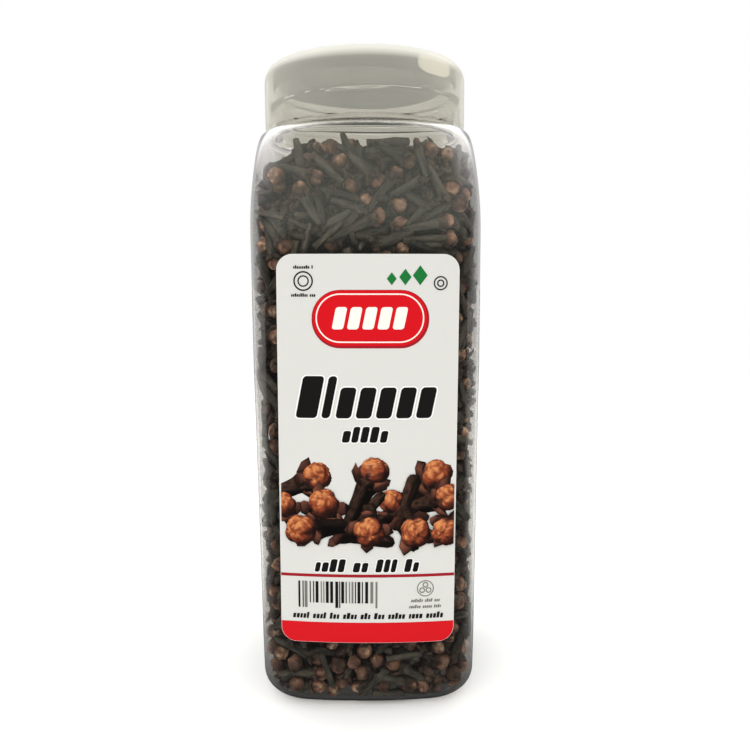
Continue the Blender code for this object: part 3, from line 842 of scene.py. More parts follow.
def clove_shape(kind, seed, fine=1):
    """One clove in millimetres, stalk down and globe up, as points, faces and its part values."""
    rng = np.random.default_rng(seed)
    verts, faces, parts = [], [], []

    def add(loops, value):
        points, skin = loft(loops)
        start = len(verts)
        verts.extend(points)
        faces.extend(tuple(start + i for i in face) for face in skin)
        if len(loops[0]) > 1:
            faces.append(tuple(start + i for i in reversed(range(len(loops[0])))))
        if len(loops[-1]) > 1:
            faces.append(tuple(start + len(points) - len(loops[-1]) + i for i in range(len(loops[-1]))))
        parts.extend(value(point) for point in points)

    stalk = {"long": 9.6, "short": 7.2, "open": 8.6, "stalk": 9.5, "bud": 0.0}[kind]
    collar = 2.6
    bend_x, bend_y = rng.uniform(-0.9, 0.9, 2)
    sides, levels, rows = 8 * fine, 3 * fine, 5 * fine
    rough = 0.06 if fine == 1 else 0.03
    if kind != "bud":
        # Stalk: blunt at the foot, four-cornered, swelling into a collar under the sepals
        loops = [[(bend_x, bend_y, -stalk - 0.3)]]
        for level in range(levels + 1):
            share = level / levels
            width = 1.1 + 0.6 * share ** 0.8 + 0.45 * math.exp(-((share - 1) / 0.2) ** 2)
            if kind == "stalk":
                width = 0.95 + 0.4 * math.sin(3 * share + 1) ** 2
            if level == 0:
                width *= 0.75
            z = -stalk + (stalk + collar) * share
            lean = (1 - share) ** 2
            loop = []
            for i in range(sides):
                turn = 2 * math.pi * i / sides
                ridge = 0.04 * math.sin(7 * turn + 2 * math.sin(z)) if fine > 1 else 0.0
                radius = width * (1 + 0.10 * math.cos(4 * turn) + ridge) * rng.uniform(1 - rough, 1 + rough)
                loop.append((radius * math.cos(turn) + bend_x * lean,
                             radius * math.sin(turn) * 0.88 + bend_y * lean, z))
            loops.append(loop)
        add(loops, lambda p: 0.10 * max(0.0, p[2] / collar))
    if kind in ("long", "short", "open"):
        # Four thick pointed sepals that stand out round the globe
        spread = 1.15 if kind == "open" else 1.0 if fine == 1 else 1.22
        for corner in range(4):
            turn = math.pi / 4 + corner * math.pi / 2 + rng.uniform(-0.15, 0.15)
            reach = spread * rng.uniform(0.92, 1.12)
            rise = rng.uniform(0.85, 1.2)
            out = np.array((math.cos(turn), math.sin(turn), 0.0))
            side = np.array((-math.sin(turn), math.cos(turn), 0.0))
            loops = []
            for radius, z, width, thick in ((1.2, 1.7, 2.2, 1.2), (2.55, 3.0, 2.0, 0.8)):
                middle = out * radius * reach + np.array((0, 0, z))
                tilt = np.array((-out[0] * 0.6, -out[1] * 0.6, 0.8)) * thick / 2
                loops.append([tuple(middle + side * width / 2 * across + tilt * up)
                              for across, up in ((1, -1), (-1, -1), (-1, 1), (1, 1))])
            loops.append([tuple(out * 3.3 * reach + np.array((0, 0, 3.9 * rise)))])
            add(loops, lambda p: 0.2)
    if kind == "open":
        # The globe has fallen off and leaves a low dome in the cup
        loops = [[(0.0, 0.0, 2.2)]]
        for share, z in ((1.0, 2.5), (0.7, 3.1)):
            loops.append([(1.4 * share * math.cos(2 * math.pi * i / sides),
                           1.4 * share * math.sin(2 * math.pi * i / sides), z) for i in range(sides)])
        loops.append([(0.0, 0.0, 3.2)])
        add(loops, lambda p: 0.4)
    if kind in ("long", "short", "bud"):
        # Globe of four petals folded over each other, creased where they meet and a little off round
        radius = rng.uniform(2.4, 2.8)
        middle = 4.3 if kind != "bud" else 0.0
        tilt_x, tilt_y = rng.uniform(-0.25, 0.25, 2)
        loops = [[(0.0, 0.0, middle - radius * 0.9)]]
        for row in range(1, rows):
            polar = math.pi * row / rows
            loop = []
            for i in range(sides):
                turn = 2 * math.pi * i / sides
                wave = 0.5 + 0.5 * math.cos(4 * turn + 0.9 * polar)
                depth = 0.14 * wave ** 2 if fine == 1 else 0.17 * wave ** 4
                crease = 1 - depth * (0.35 + 0.65 * math.sin(polar / 2))
                r = radius * math.sin(polar) ** 0.85 * crease * rng.uniform(1 - rough, 1 + rough)
                z = middle - radius * 0.9 * math.cos(polar) * rng.uniform(1 - rough, 1 + rough)
                lift = (z - middle) / radius
                loop.append((r * math.cos(turn) + tilt_x * lift, r * math.sin(turn) + tilt_y * lift, z))
            loops.append(loop)
        loops.append([(tilt_x, tilt_y, middle + radius * 0.74)])

        def globe_tone_and_painted_light(point):
            """Pale on the crown and the petals' backs, partly their own paler tone and partly a painted
            highlight; painted shade darkens the creases.
            """
            rise = min(1.0, max(0.0, (point[2] - middle + radius) / (2 * radius)))
            turn = math.atan2(point[1], point[0])
            polar = math.acos(max(-1.0, min(1.0, (middle - point[2]) / radius)))
            crease = (0.5 + 0.5 * math.cos(4 * turn + 0.9 * polar)) ** 2
            return min(1.0, max(0.3, 0.5 + 0.5 * rise - 0.3 * crease + rng.uniform(-0.1, 0.1)))

        add(loops, globe_tone_and_painted_light)
    return np.array(verts), faces, np.array(parts)


# Spheres that stand for each kind while the heap settles: distance along the clove and radius, in mm
BALLS = {
    "long": ((-9.0, 1.1), (-5.8, 1.3), (-2.4, 1.5), (1.2, 2.1), (4.2, 2.8)),
    "short": ((-6.6, 1.1), (-4.2, 1.3), (-1.4, 1.5), (1.4, 2.1), (4.2, 2.8)),
    "open": ((-8.0, 1.1), (-5.2, 1.3), (-2.2, 1.5), (0.8, 1.8), (2.9, 2.4)),
    "stalk": ((-8.8, 1.0), (-6.0, 1.1), (-3.2, 1.2), (-0.4, 1.1), (2.0, 1.0)),
    "bud": ((0.0, 2.5), (0.0, 2.5), (0.0, 2.5), (0.0, 2.5), (0.0, 2.5)),
}
# How far past those spheres the sepals reach, which counts against the walls only
SEPAL_REACH = {"long": (0.3, 0.3, 0.4, 1.0, 1.1), "short": (0.3, 0.3, 0.4, 1.0, 1.1),
               "open": (0.3, 0.3, 0.4, 1.2, 1.6), "stalk": (0.3,) * 5, "bud": (0.4,) * 5}
KINDS = ("long", "short", "open", "stalk", "bud")
PAIR_REACH = 19 * MM              # cloves whose middles are further apart than this are left alone
OUTER_LAYER = 8 * MM              # cloves this close to the walls are pushed out to them,
OUTWARD_PUSH = 0.12 * MM          # by about this much in each round
# Share of each kind high in the heap, and at its foot, where loose globes have sifted down
SHARES_HIGH = np.array((0.32, 0.20, 0.25, 0.19, 0.04))
SHARES_LOW = np.array((0.16, 0.20, 0.14, 0.14, 0.36))


def heap_top(points, edge, middle):
    """Height of the heap's surface, a low uneven mound that stands higher to the right."""
    x, y = points[:, 0] / MM, points[:, 1] / MM
    mound = edge + (middle - edge) * (1 - np.clip((x ** 2 + y ** 2) / 34 ** 2, 0, 1))
    wave = np.sin(x / 4.3 + 0.7) * np.sin(y / 5.1 + 1.9) + 0.6 * np.sin(x / 9.1 - y / 7.3)
    sides = np.clip((np.abs(x + 2) - 15) / 14, 0, 1)
    return mound + (0.9 * wave + 1.2 * x / 30 - 3.8 * sides) * MM


def wall_gap(points, way):
    """Room that the loose heap leaves along the walls: little in front, pockets down the sides."""
    z = points[:, 2] / MM
    pocket = 0.4 + 0.3 * np.sin(z / 6.1 + 1.0) + 0.3 * np.sin(z / 13.7 + points[:, 1] / MM / 23 + 2.2)
    sides = np.clip(-way[:, 0], 0, 1) ** 2 * 0.7 + np.clip(way[:, 0], 0, 1) ** 2 * 0.4
    heel = np.clip((14 - z) / 14, 0, 1) * 0.5
    return (np.clip(pocket, 0, 1) * sides + heel) * MM


def settle_heap(shape, clove, rng):
    """Places cloves at random in a layer inside the walls and pushes them apart until few overlap."""
    count = clove.count
    # Random spots in the layer, by rejection
    spots = np.zeros((0, 3))
    half_height = FILL_HIGH.z / 2
    while len(spots) < count:
        tries = rng.uniform(-1, 1, (20000, 3)) * (shape.half, shape.half, half_height) + (0, 0, half_height)
        depth, _ = shape.wall_depth(tries)
        above = tries[:, 2] - shape.floor_height(tries)
        below = heap_top(tries, clove.edge_height, clove.middle_height) - tries[:, 2]
        nearest = np.minimum(np.minimum(depth, above * 1.3), below)
        good = (nearest > 2 * MM) & (nearest < clove.shell)
        spots = np.concatenate((spots, tries[good]))
    spots = spots[:count]
    foot = np.clip((32 * MM - spots[:, 2]) / (14 * MM), 0, 1)[:, None]
    limits = np.cumsum(SHARES_HIGH * (1 - foot) + SHARES_LOW * foot, 1)
    kinds = np.minimum((rng.random((count, 1)) > limits).sum(1), len(KINDS) - 1)
    sizes = rng.uniform(0.86, 1.12, count)
    balls = np.array([BALLS[kind] for kind in KINDS])[kinds] * MM * sizes[:, None, None]
    reach, radii = balls[..., 0], balls[..., 1]
    sepals = np.array([SEPAL_REACH[kind] for kind in KINDS])[kinds] * MM * sizes[:, None]
    axes = rng.normal(size=(count, 3)) * (1.0, 1.0, 0.75)
    axes /= np.linalg.norm(axes, axis=1, keepdims=True)
    loose = (6.5 * rng.random(count) ** 1.4 - 2.5) * MM        # how far a clove may stand out of the top
    along = reach - reach.mean(1, keepdims=True)
    turning = (along ** 2).sum(1) + (1.5 * MM) ** 2
    middle = reach.mean(1, keepdims=True)
    pairs = None
    for step in range(clove.steps):
        grow = min(1.0, 0.7 + 0.3 * step / (0.5 * clove.steps))
        r = radii * grow
        centres = spots[:, None] + reach[..., None] * axes[:, None]
        if step % 5 == 0:
            mid = spots + middle * axes
            square = (mid ** 2).sum(1)
            near = square[:, None] + square[None] - 2 * mid @ mid.T < PAIR_REACH ** 2
            pairs = np.argwhere(np.triu(near, 1))
        a, b = pairs.T
        gap = centres[a][:, :, None] - centres[b][:, None]
        far = np.sqrt((gap ** 2).sum(-1)) + 1e-9
        lap = np.clip(r[a][:, :, None] + r[b][:, None] - far, 0, None)
        push = gap * (lap / far * 0.5)[..., None]
        moves = np.zeros_like(centres)
        for axis in range(3):
            for k in range(5):
                moves[:, k, axis] += np.bincount(a, push[:, k, :, axis].sum(1), count)
                moves[:, k, axis] -= np.bincount(b, push[:, :, k, axis].sum(1), count)
        flat = centres.reshape(-1, 3)
        depth, way = shape.wall_depth(flat)
        over = np.clip((r + sepals).reshape(-1) + wall_gap(flat, way) - depth, 0, None)
        extra = np.zeros_like(flat)
        extra[:, :2] -= way * over[:, None]
        # A light push outwards packs the outer cloves against the walls
        extra[:, :2] += way * (OUTWARD_PUSH * (depth < OUTER_LAYER) * (over <= 0))[:, None]
        sink = np.clip(shape.floor_height(flat) + (r + sepals).reshape(-1) + 0.2 * MM - flat[:, 2], 0, None)
        extra[:, 2] += sink
        surface = heap_top(flat, clove.edge_height, clove.middle_height)
        proud = flat[:, 2] + r.reshape(-1) - surface - np.repeat(loose, 5)
        extra[:, 2] -= np.clip(proud, 0, 2 * MM)
        # Cloves that drift out of the layer are led back to it
        inward = np.minimum(np.minimum(depth, (flat[:, 2] - shape.floor_height(flat)) * 1.3), -proud + 2 * MM)
        lost = np.clip(inward - clove.shell, 0, 1 * MM)
        extra[:, :2] += way * lost[:, None] * 0.3
        # In the last rounds only the walls push
        last = step >= clove.steps - 4
        moves = moves * (0.0 if last else 1.2) + extra.reshape(moves.shape)
        drift = moves.mean(1)
        spin = ((moves - drift[:, None]) * along[..., None]).sum(1) / turning[:, None]
        old = spots + middle * axes
        axes = axes + 1.1 * spin
        axes /= np.linalg.norm(axes, axis=1, keepdims=True)
        spots = old + drift * 1.5 - middle * axes
    return kinds, sizes, spots, axes


def clove_template(name, kind, seed):
    """A hidden object that holds one clove shape, in metres, with its attributes."""
    verts, faces, parts = clove_shape(kind, seed)
    thing = new_object(name, verts * MM, faces)
    face_outwards(thing)
    part = thing.data.attributes.new("part", "FLOAT", "POINT")
    part.data.foreach_set("value", parts.astype(np.float32))
    skin = thing.data.attributes.new("skin", "FLOAT_VECTOR", "POINT")
    skin.data.foreach_set("vector", verts.astype(np.float32).ravel())
    return thing


class CLOVEJAR_OT_cloves(Operator):
    """Loose cloves, one joined mesh for each kind, over a dark core"""
    bl_idname = "clove_jar.cloves"
    bl_label = "Cloves"

    def execute(self, context):
        clove = context.scene.clove_jar_cloves
        shape = JarShape(context.scene.clove_jar)
        rng = np.random.default_rng(clove.seed)
        kinds, sizes, spots, axes = settle_heap(shape, clove, rng)
        rolls = rng.uniform(0, 2 * math.pi, len(kinds))
        tints = np.clip(rng.beta(2.0, 2.6, len(kinds)), 0, 1)
        material = dried_clove()
        tree = scatter_tree()
        names = {"long": "cloves_long", "short": "cloves_short", "open": "cloves_without_globe",
                 "stalk": "clove_stalks", "bud": "clove_globes"}
        for index, kind in enumerate(KINDS):
            mine = np.flatnonzero(kinds == index)
            points = new_object(names[kind], spots[mine], [], smooth=False)
            turns = []
            for i in mine:
                way = Vector(axes[i]).to_track_quat("Z", "Y").to_matrix()
                turns.append(tuple((way @ Matrix.Rotation(rolls[i], 3, "Z")).to_euler()))
            for title, kind_of, field, values in (("turn", "FLOAT_VECTOR", "vector", np.array(turns)),
                                                  ("size", "FLOAT", "value", sizes[mine]),
                                                  ("tint", "FLOAT", "value", tints[mine])):
                data = points.data.attributes.new(title, kind_of, "POINT")
                data.data.foreach_set(field, values.astype(np.float32).ravel())
            shapes = [clove_template(f"{kind}_shape_{i}", kind, 100 * index + i) for i in range(3)]
            run_tree(points, tree, {"Shape A": shapes[0], "Shape B": shapes[1], "Shape C": shapes[2],
                                    "Scale": 1.0, "Seed": index, "Material": material})
            for hidden in shapes:
                bpy.data.objects.remove(hidden, do_unlink=True)
            settle(points, None, "cloves")
        self.make_core(shape, clove)
        return {"FINISHED"}

    def make_core(self, shape, clove):
        """The dark body of the heap behind the loose layer, whose near-black colour is painted shade."""
        inset, around, levels = 8.5 * MM, 64, 26
        # How thick the loose cloves lie under the core, over its rim and over its middle, and how far
        # from the axis the heap's height is taken for the rim
        under, over_rim, over_middle, rim_reach = 5 * MM, 9 * MM, 7 * MM, 30 * MM
        low = float(shape.floor_height(np.zeros((1, 3)))[0]) + under
        angles = np.arange(around) * 2 * math.pi / around
        loops = [[(0.0, 0.0, low)]]
        for level in range(levels + 1):
            share = level / levels
            loop = []
            for a in angles:
                rim = np.array([[rim_reach * math.cos(a), rim_reach * math.sin(a), 0.0]])
                high = float(heap_top(rim, clove.edge_height, clove.middle_height)[0]) - over_rim
                z = low + (high - low) * share
                half, square = shape.inner(np.array([z]))
                low_end, high_end = (max(0.0, 1 - part * levels / 3) for part in (share, 1 - share))
                ease = 1 - 0.25 * low_end - 0.2 * high_end
                bump = 1.2 * MM * math.sin(9 * a + z / MM / 4) * math.sin(5 * a - z / MM / 6)
                radius = float(shape.outline(half - inset, square, a)[0]) * ease + bump
                loop.append((radius * math.cos(a), radius * math.sin(a), z))
            loops.append(loop)
        top = float(heap_top(np.zeros((1, 3)), clove.edge_height, clove.middle_height)[0]) - over_middle
        rim = loops[-1]
        for share in (0.75, 0.5, 0.25):
            loops.append([(x * share, y * share, top + (z - top) * share ** 2) for x, y, z in rim])
        loops.append([(0.0, 0.0, top)])
        core = new_object("clove_heap_core", *loft(loops))
        face_outwards(core)
        settle(core, painted_shade_core(), "cloves")


# ---------------------------------------------------------------- label and print

def on_label(points, height):
    """Lays points given across and up from the label's middle onto the jar's front face."""
    label, jar = bpy.context.scene.clove_jar_label, bpy.context.scene.clove_jar
    shape = JarShape(jar)
    across, up = np.asarray(points)[:, 0], np.asarray(points)[:, 1]
    middle = (label.top + label.bottom) / 2
    x = label.shift + across * math.cos(label.tilt) + up * math.sin(label.tilt)
    z = middle + up * math.cos(label.tilt) - across * math.sin(label.tilt)
    bow = jar.face_radius - np.sqrt(jar.face_radius ** 2 - x ** 2)
    lift = label.lift + label.thickness + np.asarray(height)
    return np.stack((x, bow - shape.body_half_width(z) - lift, z), 1)


def rounded_block(width, height, corner, slant=0.0, centre=(0.0, 0.0), steps=5):
    """Outline of a rounded rectangle in mm, leaning to the right by `slant`."""
    points = []
    for sx, sy, start in ((1, 1, 0), (-1, 1, 90), (-1, -1, 180), (1, -1, 270)):
        for i in range(steps + 1):
            a = math.radians(start + 90 * i / steps)
            x = sx * (width / 2 - corner) + corner * math.cos(a)
            y = sy * (height / 2 - corner) + corner * math.sin(a)
            points.append((centre[0] + x + slant * y, centre[1] + y))
    return points


def ring_band(radius, width, centre, steps=40):
    """Quads of a printed ring in mm."""
    shapes = []
    for i in range(steps):
        quad = []
        for turn, r in ((i, radius - width / 2), (i, radius + width / 2),
                        (i + 1, radius + width / 2), (i + 1, radius - width / 2)):
            a = 2 * math.pi * turn / steps
            quad.append((centre[0] + r * math.cos(a), centre[1] + r * math.sin(a)))
        shapes.append(quad)
    return shapes


def outline_band(outer, inner):
    """Quads between two outlines that have the same number of points."""
    count = len(outer)
    return [[inner[i], outer[i], outer[(i + 1) % count], inner[(i + 1) % count]] for i in range(count)]


def lay_print(name, outlines, low, thick, material, replaces=None):
    """Closed thin slabs of ink or film, cut into strips so that they follow the bow of the face."""
    flat = bmesh.new()
    for outline in outlines:
        flat.faces.new([flat.verts.new((x * MM, y * MM, 0.0)) for x, y in outline])
    bmesh.ops.remove_doubles(flat, verts=flat.verts, dist=0.002 * MM)
    bmesh.ops.recalc_face_normals(flat, faces=flat.faces)
    for face in flat.faces:
        if face.normal.z < 0:
            face.normal_flip()
    label, jar = bpy.context.scene.clove_jar_label, bpy.context.scene.clove_jar
    # One of the level cuts runs along the height at which the face starts to taper
    crease = (jar.taper_top - (label.top + label.bottom) / 2) / MM
    for way, start, end, pace in (((1, 0, 0), -27.0, 27.5, 1.5), ((0, 1, 0), crease - 80, 60, 8)):
        for cut in np.arange(start, end, pace):
            bmesh.ops.bisect_plane(flat, geom=flat.verts[:] + flat.edges[:] + flat.faces[:],
                                   plane_co=Vector(way) * (float(cut) * MM), plane_no=way, dist=0.0005 * MM)
    flat.verts.index_update()
    places = np.array([v.co[:2] for v in flat.verts])
    count = len(places)
    verts = np.concatenate((on_label(places, low), on_label(places, low + thick)))
    faces = []
    for face in flat.faces:
        loop = [v.index for v in face.verts]
        faces.append([count + i for i in loop])
        faces.append(loop[::-1])
    for edge in flat.edges:
        if edge.is_boundary:
            # The side wall runs the way that its one face goes round
            loop = edge.link_loops[0]
            a, b = loop.vert.index, loop.link_loop_next.vert.index
            faces.append([a, b, count + b, count + a])
    flat.free()
    piece = new_object(name, verts, faces, smooth=False)
    piece.data.set_sharp_from_angle(angle=math.radians(30))
    return settle(piece, material, replaces)


def letter_row(rng, left, right, middle, height, slant, words, corner=0.3):
    """A row of plain slanted blocks in place of a line of lettering, in words of differing length."""
    blocks, x = [], left
    pitch = height * 0.62
    while x < right - pitch * 0.6:
        for _ in range(int(rng.integers(words[0], words[1] + 1))):
            width = height * rng.uniform(0.34, 0.5)
            if x + width > right:
                break
            tall = height * (1.0 if rng.random() < 0.3 else 0.74)
            blocks.append(rounded_block(width, tall, min(corner, width * 0.4), slant,
                                        (x + width / 2, middle - (height - tall) / 2), steps=2))
            x += width + height * 0.13
        x += pitch * 0.8
    return blocks


def grown(outline, amount):
    """An outline moved outwards by about `amount` mm, for the pale edge round dark print."""
    points = np.array(outline)
    before, after = np.roll(points, 1, 0), np.roll(points, -1, 0)
    way = after - before
    normal = np.stack((way[:, 1], -way[:, 0]), 1)
    normal /= np.linalg.norm(normal, axis=1, keepdims=True) + 1e-9
    return [tuple(p) for p in points + normal * amount]


# The title is a row of leaning blocks: width and height of each, in mm
TITLE_BLOCKS = ((6.4, 12.8), (2.6, 12.8), (4.7, 9.4), (4.7, 9.4), (4.7, 9.4), (4.7, 9.4), (4.7, 9.4))
# Directions and frequencies, per mm, of the waves that make the pictured cloves lumpy
LUMP_WAVES = ((4.1, 1.2, 2.3), (-1.7, 3.9, 2.9), (2.2, -3.3, 4.4), (6.1, 5.2, -3.7), (-5.3, 6.4, 4.8))


class CLOVEJAR_OT_label(Operator):
    """Film label with its print: fields of colour and plain forms, no lettering"""
    bl_idname = "clove_jar.label"
    bl_label = "Label"

    def execute(self, context):
        label = context.scene.clove_jar_label
        rng = np.random.default_rng(3)
        wide, tall = label.width / MM, (label.top - label.bottom) / MM
        corner = label.corner / MM
        edge = rounded_block(wide, tall, corner, steps=12)
        margin = 0.1                                   # unprinted film along the cut edge
        ground = rounded_block(wide - 2 * margin, tall - 2 * margin, corner - margin, steps=12)
        lay_print("label_film", [edge], -label.thickness, label.thickness,
                  printed_film("white_film", "efeeea", speckle=0.02), "label")
        ink = 0.02 * MM
        lay_print("print_ground", [ground], 0.0, ink, printed_film("pale_grey_ink", "d2d1cc", speckle=0.03))

        slant = 0.2
        dark, halo, red, deep_red, green, cream, grey = [], [], [], [], [], [], []
        # Emblem: a red oval with a pale line round its inside and a row of plain pale blocks
        emblem = (0.6, 41.5)

        def oval(width, height, corner, centre=emblem):
            return rounded_block(width, height, corner, 0.0, centre, steps=12)

        red.append(oval(34.0, 16.4, 8.1))
        deep_red += outline_band(oval(34.9, 17.3, 8.5, (0.75, 41.2)), oval(33.8, 16.2, 8.0))
        cream += outline_band(oval(32.2, 14.6, 7.2), oval(31.4, 13.8, 6.8))
        for i in range(5):
            cream.append(rounded_block(3.4, 6.6, 0.8, slant, (4.5 * i - 8.4, emblem[1]), steps=4))
        # Three plain green lozenges over its right end
        low_tip = 51.2
        for offset, size in ((7.0, 3.8), (11.0, 4.8), (15.4, 5.8)):
            green.append([(offset + size * 0.38, low_tip + size / 2), (offset, low_tip + size),
                          (offset - size * 0.38, low_tip + size / 2), (offset, low_tip)])
        # Two pairs of plain rings in the upper corners
        for radius, line, centre in ((2.7, 0.45, (-19.1, 52.4)), (1.5, 0.4, (-19.1, 52.4)),
                                     (1.9, 0.4, (21.5, 51.8)), (0.9, 0.4, (21.5, 51.8))):
            dark += ring_band(radius, line, centre)
        for low, reach in ((56.5, 2.9), (48.3, 3.6)):
            dark += letter_row(rng, -19.1 - reach, -19.1 + reach, low, 1.0, 0.0, (7, 9), corner=0.1)

        # Title and second title
        x, title_foot, title_gap = -20.6, 11.4, 1.35
        for width, height in TITLE_BLOCKS:
            block = rounded_block(width, height, 1.1, slant, (x + width / 2, title_foot + height / 2))
            halo.append(grown(block, 0.4))
            dark.append(block)
            x += width + title_gap
        row = letter_row(rng, -7.6, 8.6, 6.4, 4.9, slant, (6, 6), corner=0.6)
        halo += [grown(block, 0.3) for block in row]
        dark += row

        # Weight line, rule, stripes, small lines and the red foot
        row = letter_row(rng, -16.2, 17.6, -35.0, 4.2, slant, (2, 4), corner=0.5)
        halo += [grown(block, 0.25) for block in row]
        dark += row
        deep_red.append(rounded_block(wide - 2 * margin, 0.95, 0.05, 0.0, (0.0, -38.3), steps=1))
        x, stripe_top, stripe_foot = -21.6, -40.2, -47.2
        while x < 3.0:
            width = rng.choice((0.35, 0.6, 0.9))
            drop = 1.6 if x < -19.5 or x > 1.0 or abs(x + 9.4) < 0.7 else 0.0
            target = grey if rng.random() < 0.35 else dark
            target.append([(x, stripe_top), (x, stripe_foot - drop), (x + width, stripe_foot - drop),
                           (x + width, stripe_top)])
            x += width + rng.choice((0.3, 0.45, 0.7))
        dark += letter_row(rng, -23.3, 24.0, -51.4, 2.0, 0.15, (3, 7), corner=0.15)
        grey += ring_band(2.5, 0.3, (18.0, -42.6))
        for a in (math.radians(90), math.radians(210), math.radians(330)):
            grey += ring_band(0.75, 0.35, (18.0 + 1.15 * math.cos(a), -42.6 + 1.15 * math.sin(a)), steps=12)
        for left, right, middle, words in ((13.6, 22.6, -46.5, (4, 7)), (13.0, 23.4, -48.5, (3, 6))):
            grey += letter_row(rng, left, right, middle, 1.1, slant, words, corner=0.1)

        foot, half, r = tall / 2 - margin, wide / 2 - margin, corner - margin
        base = [(half, -53.6), (-half, -53.6)]
        for start, side in ((180, -1), (270, 1)):
            for turn in quarter(12):
                a = math.radians(start) + turn
                base.append((side * (half - r) + r * math.cos(a), -(foot - r) + r * math.sin(a)))
        red.append(base)

        inks = (("print_pale_edges", halo, 1, "f2f1ed"), ("print_green", green, 2, "167334"),
                ("print_deep_red", deep_red, 1, "9c1220"), ("print_red", red, 2, "d00012"),
                ("print_cream", cream, 3, "f0ece2"), ("print_grey", grey, 2, "77756f"),
                ("print_black", dark, 2, "171514"))
        for name, shapes, layer, colour in inks:
            lay_print(name, shapes, layer * ink * 1.5, ink,
                      printed_film(name.replace("print", "ink"), colour))
        self.make_picture(rng, ink)
        return {"FINISHED"}

    def make_picture(self, rng, ink):
        """Printed picture of a few large cloves: real clove forms, shaded in ink and pressed flat."""
        # Place across and up, turn, tip towards the viewer, size and kind of each, back to front
        cloves = (
            (-15.6, -6.8, -64, 28, 1.85, "short"), (21.2, -6.6, -48, 48, 1.9, "short"),
            (14.5, -14.5, -62, 20, 1.6, "open"), (2.1, -5.0, -27, 12, 1.85, "short"),
            (25.0, -13.5, -75, 35, 1.7, "short"), (-25.6, -15.8, 20, 55, 1.5, "short"),
            (7.4, -14.5, 24, 18, 1.6, "short"), (-13.4, -15.2, -12, 62, 1.9, "short"),
            (9.6, -23.0, 165, 30, 1.5, "stalk"), (-12.0, -23.5, 80, 12, 1.6, "open"),
            (-5.6, -25.5, 145, 20, 1.35, "stalk"), (-20.5, -23.6, 96, 48, 1.75, "short"),
            (0.4, -24.0, 176, 72, 1.9, "short"), (14.6, -24.3, -160, 70, 1.95, "short"),
            (24.0, -24.3, 150, 66, 1.75, "short"),
        )
        # The picture is lit from the upper left, and stops short of the label's side edges
        lamp, side_edge = Vector((-0.45, 0.65, 0.75)).normalized(), 26.6
        all_verts, all_faces, all_inks = [], [], []
        for order, (across, up, turn, tip, size, kind) in enumerate(cloves):
            verts, faces, parts = clove_shape(kind, 700 + order, fine=4)
            roll = Matrix.Rotation(rng.uniform(0, 6.28), 3, "Z")
            way = (Matrix.Rotation(math.radians(turn), 3, "Z") @ Matrix.Rotation(math.radians(tip), 3, "X")
                   @ Matrix.Rotation(math.radians(-90), 3, "X") @ roll)
            # Dried skin: lumps of about a millimetre that also take the light unevenly
            lump = sum(np.sin(verts @ np.array(wave) + order) for wave in LUMP_WAVES) / len(LUMP_WAVES)
            points = (np.array(way) @ (verts * (1 + 0.03 * lump[:, None])).T).T * size
            # The globe, not the stalk's middle, sits at the given place
            head = np.array(way @ Vector((0, 0, 4.2))) * size
            points -= (head[0], head[1], 0)
            thing = new_object("picture_scratch", points, faces)
            face_outwards(thing)
            normals = np.empty(len(verts) * 3, np.float32)
            thing.data.vertices.foreach_get("normal", normals)
            normals = normals.reshape(-1, 3)
            skins = [tuple(p.vertices) for p in thing.data.polygons]
            bpy.data.objects.remove(thing, do_unlink=True)
            light = 0.9 * np.clip(normals @ np.array(lamp), 0, 1) + 0.12 * np.clip(normals[:, 2], 0, 1)
            light = light ** 1.6 * (0.95 + 0.75 * lump) * (0.7 + 0.5 * rng.random(len(verts)))
            colour = np.zeros((len(verts), 3))
            for low, shade, middle, bright in ((0.0, "080504", "20130d", "4a2f22"),
                                               (0.15, "140a07", "43211a", "8a5038"),
                                               (0.5, "240b06", "8f3c1a", "d88a50")):
                tones = [np.array(linear(tone)[:3]) for tone in (shade, middle, bright)]
                mixed = [np.interp(light, (0.0, 0.45, 1.0), [tone[c] for tone in tones]) for c in range(3)]
                colour = np.where((parts >= low)[:, None], np.stack(mixed, 1), colour)
            low, high = points[:, 2].min(), points[:, 2].max()
            start = sum(len(v) for v in all_verts)
            height = (order * 1.8 + 1.5 * (points[:, 2] - low) / (high - low)) * ink + ink
            flat = points[:, :2] + (across, up)
            flat[:, 0] = np.clip(flat[:, 0], -side_edge, side_edge)
            all_verts.append(on_label(flat * MM, height))
            all_faces += [tuple(start + i for i in face) for face in skins]
            all_inks.append(colour)
        picture = new_object("print_picture", np.concatenate(all_verts), all_faces, smooth=False)
        data = picture.data.color_attributes.new("ink", "FLOAT_COLOR", "POINT")
        inks = np.concatenate(all_inks)
        inks = np.concatenate((inks, np.ones((len(inks), 1))), 1)
        data.data.foreach_set("color", inks.astype(np.float32).ravel())
        settle(picture, printed_picture())


# ---------------------------------------------------------------- stage

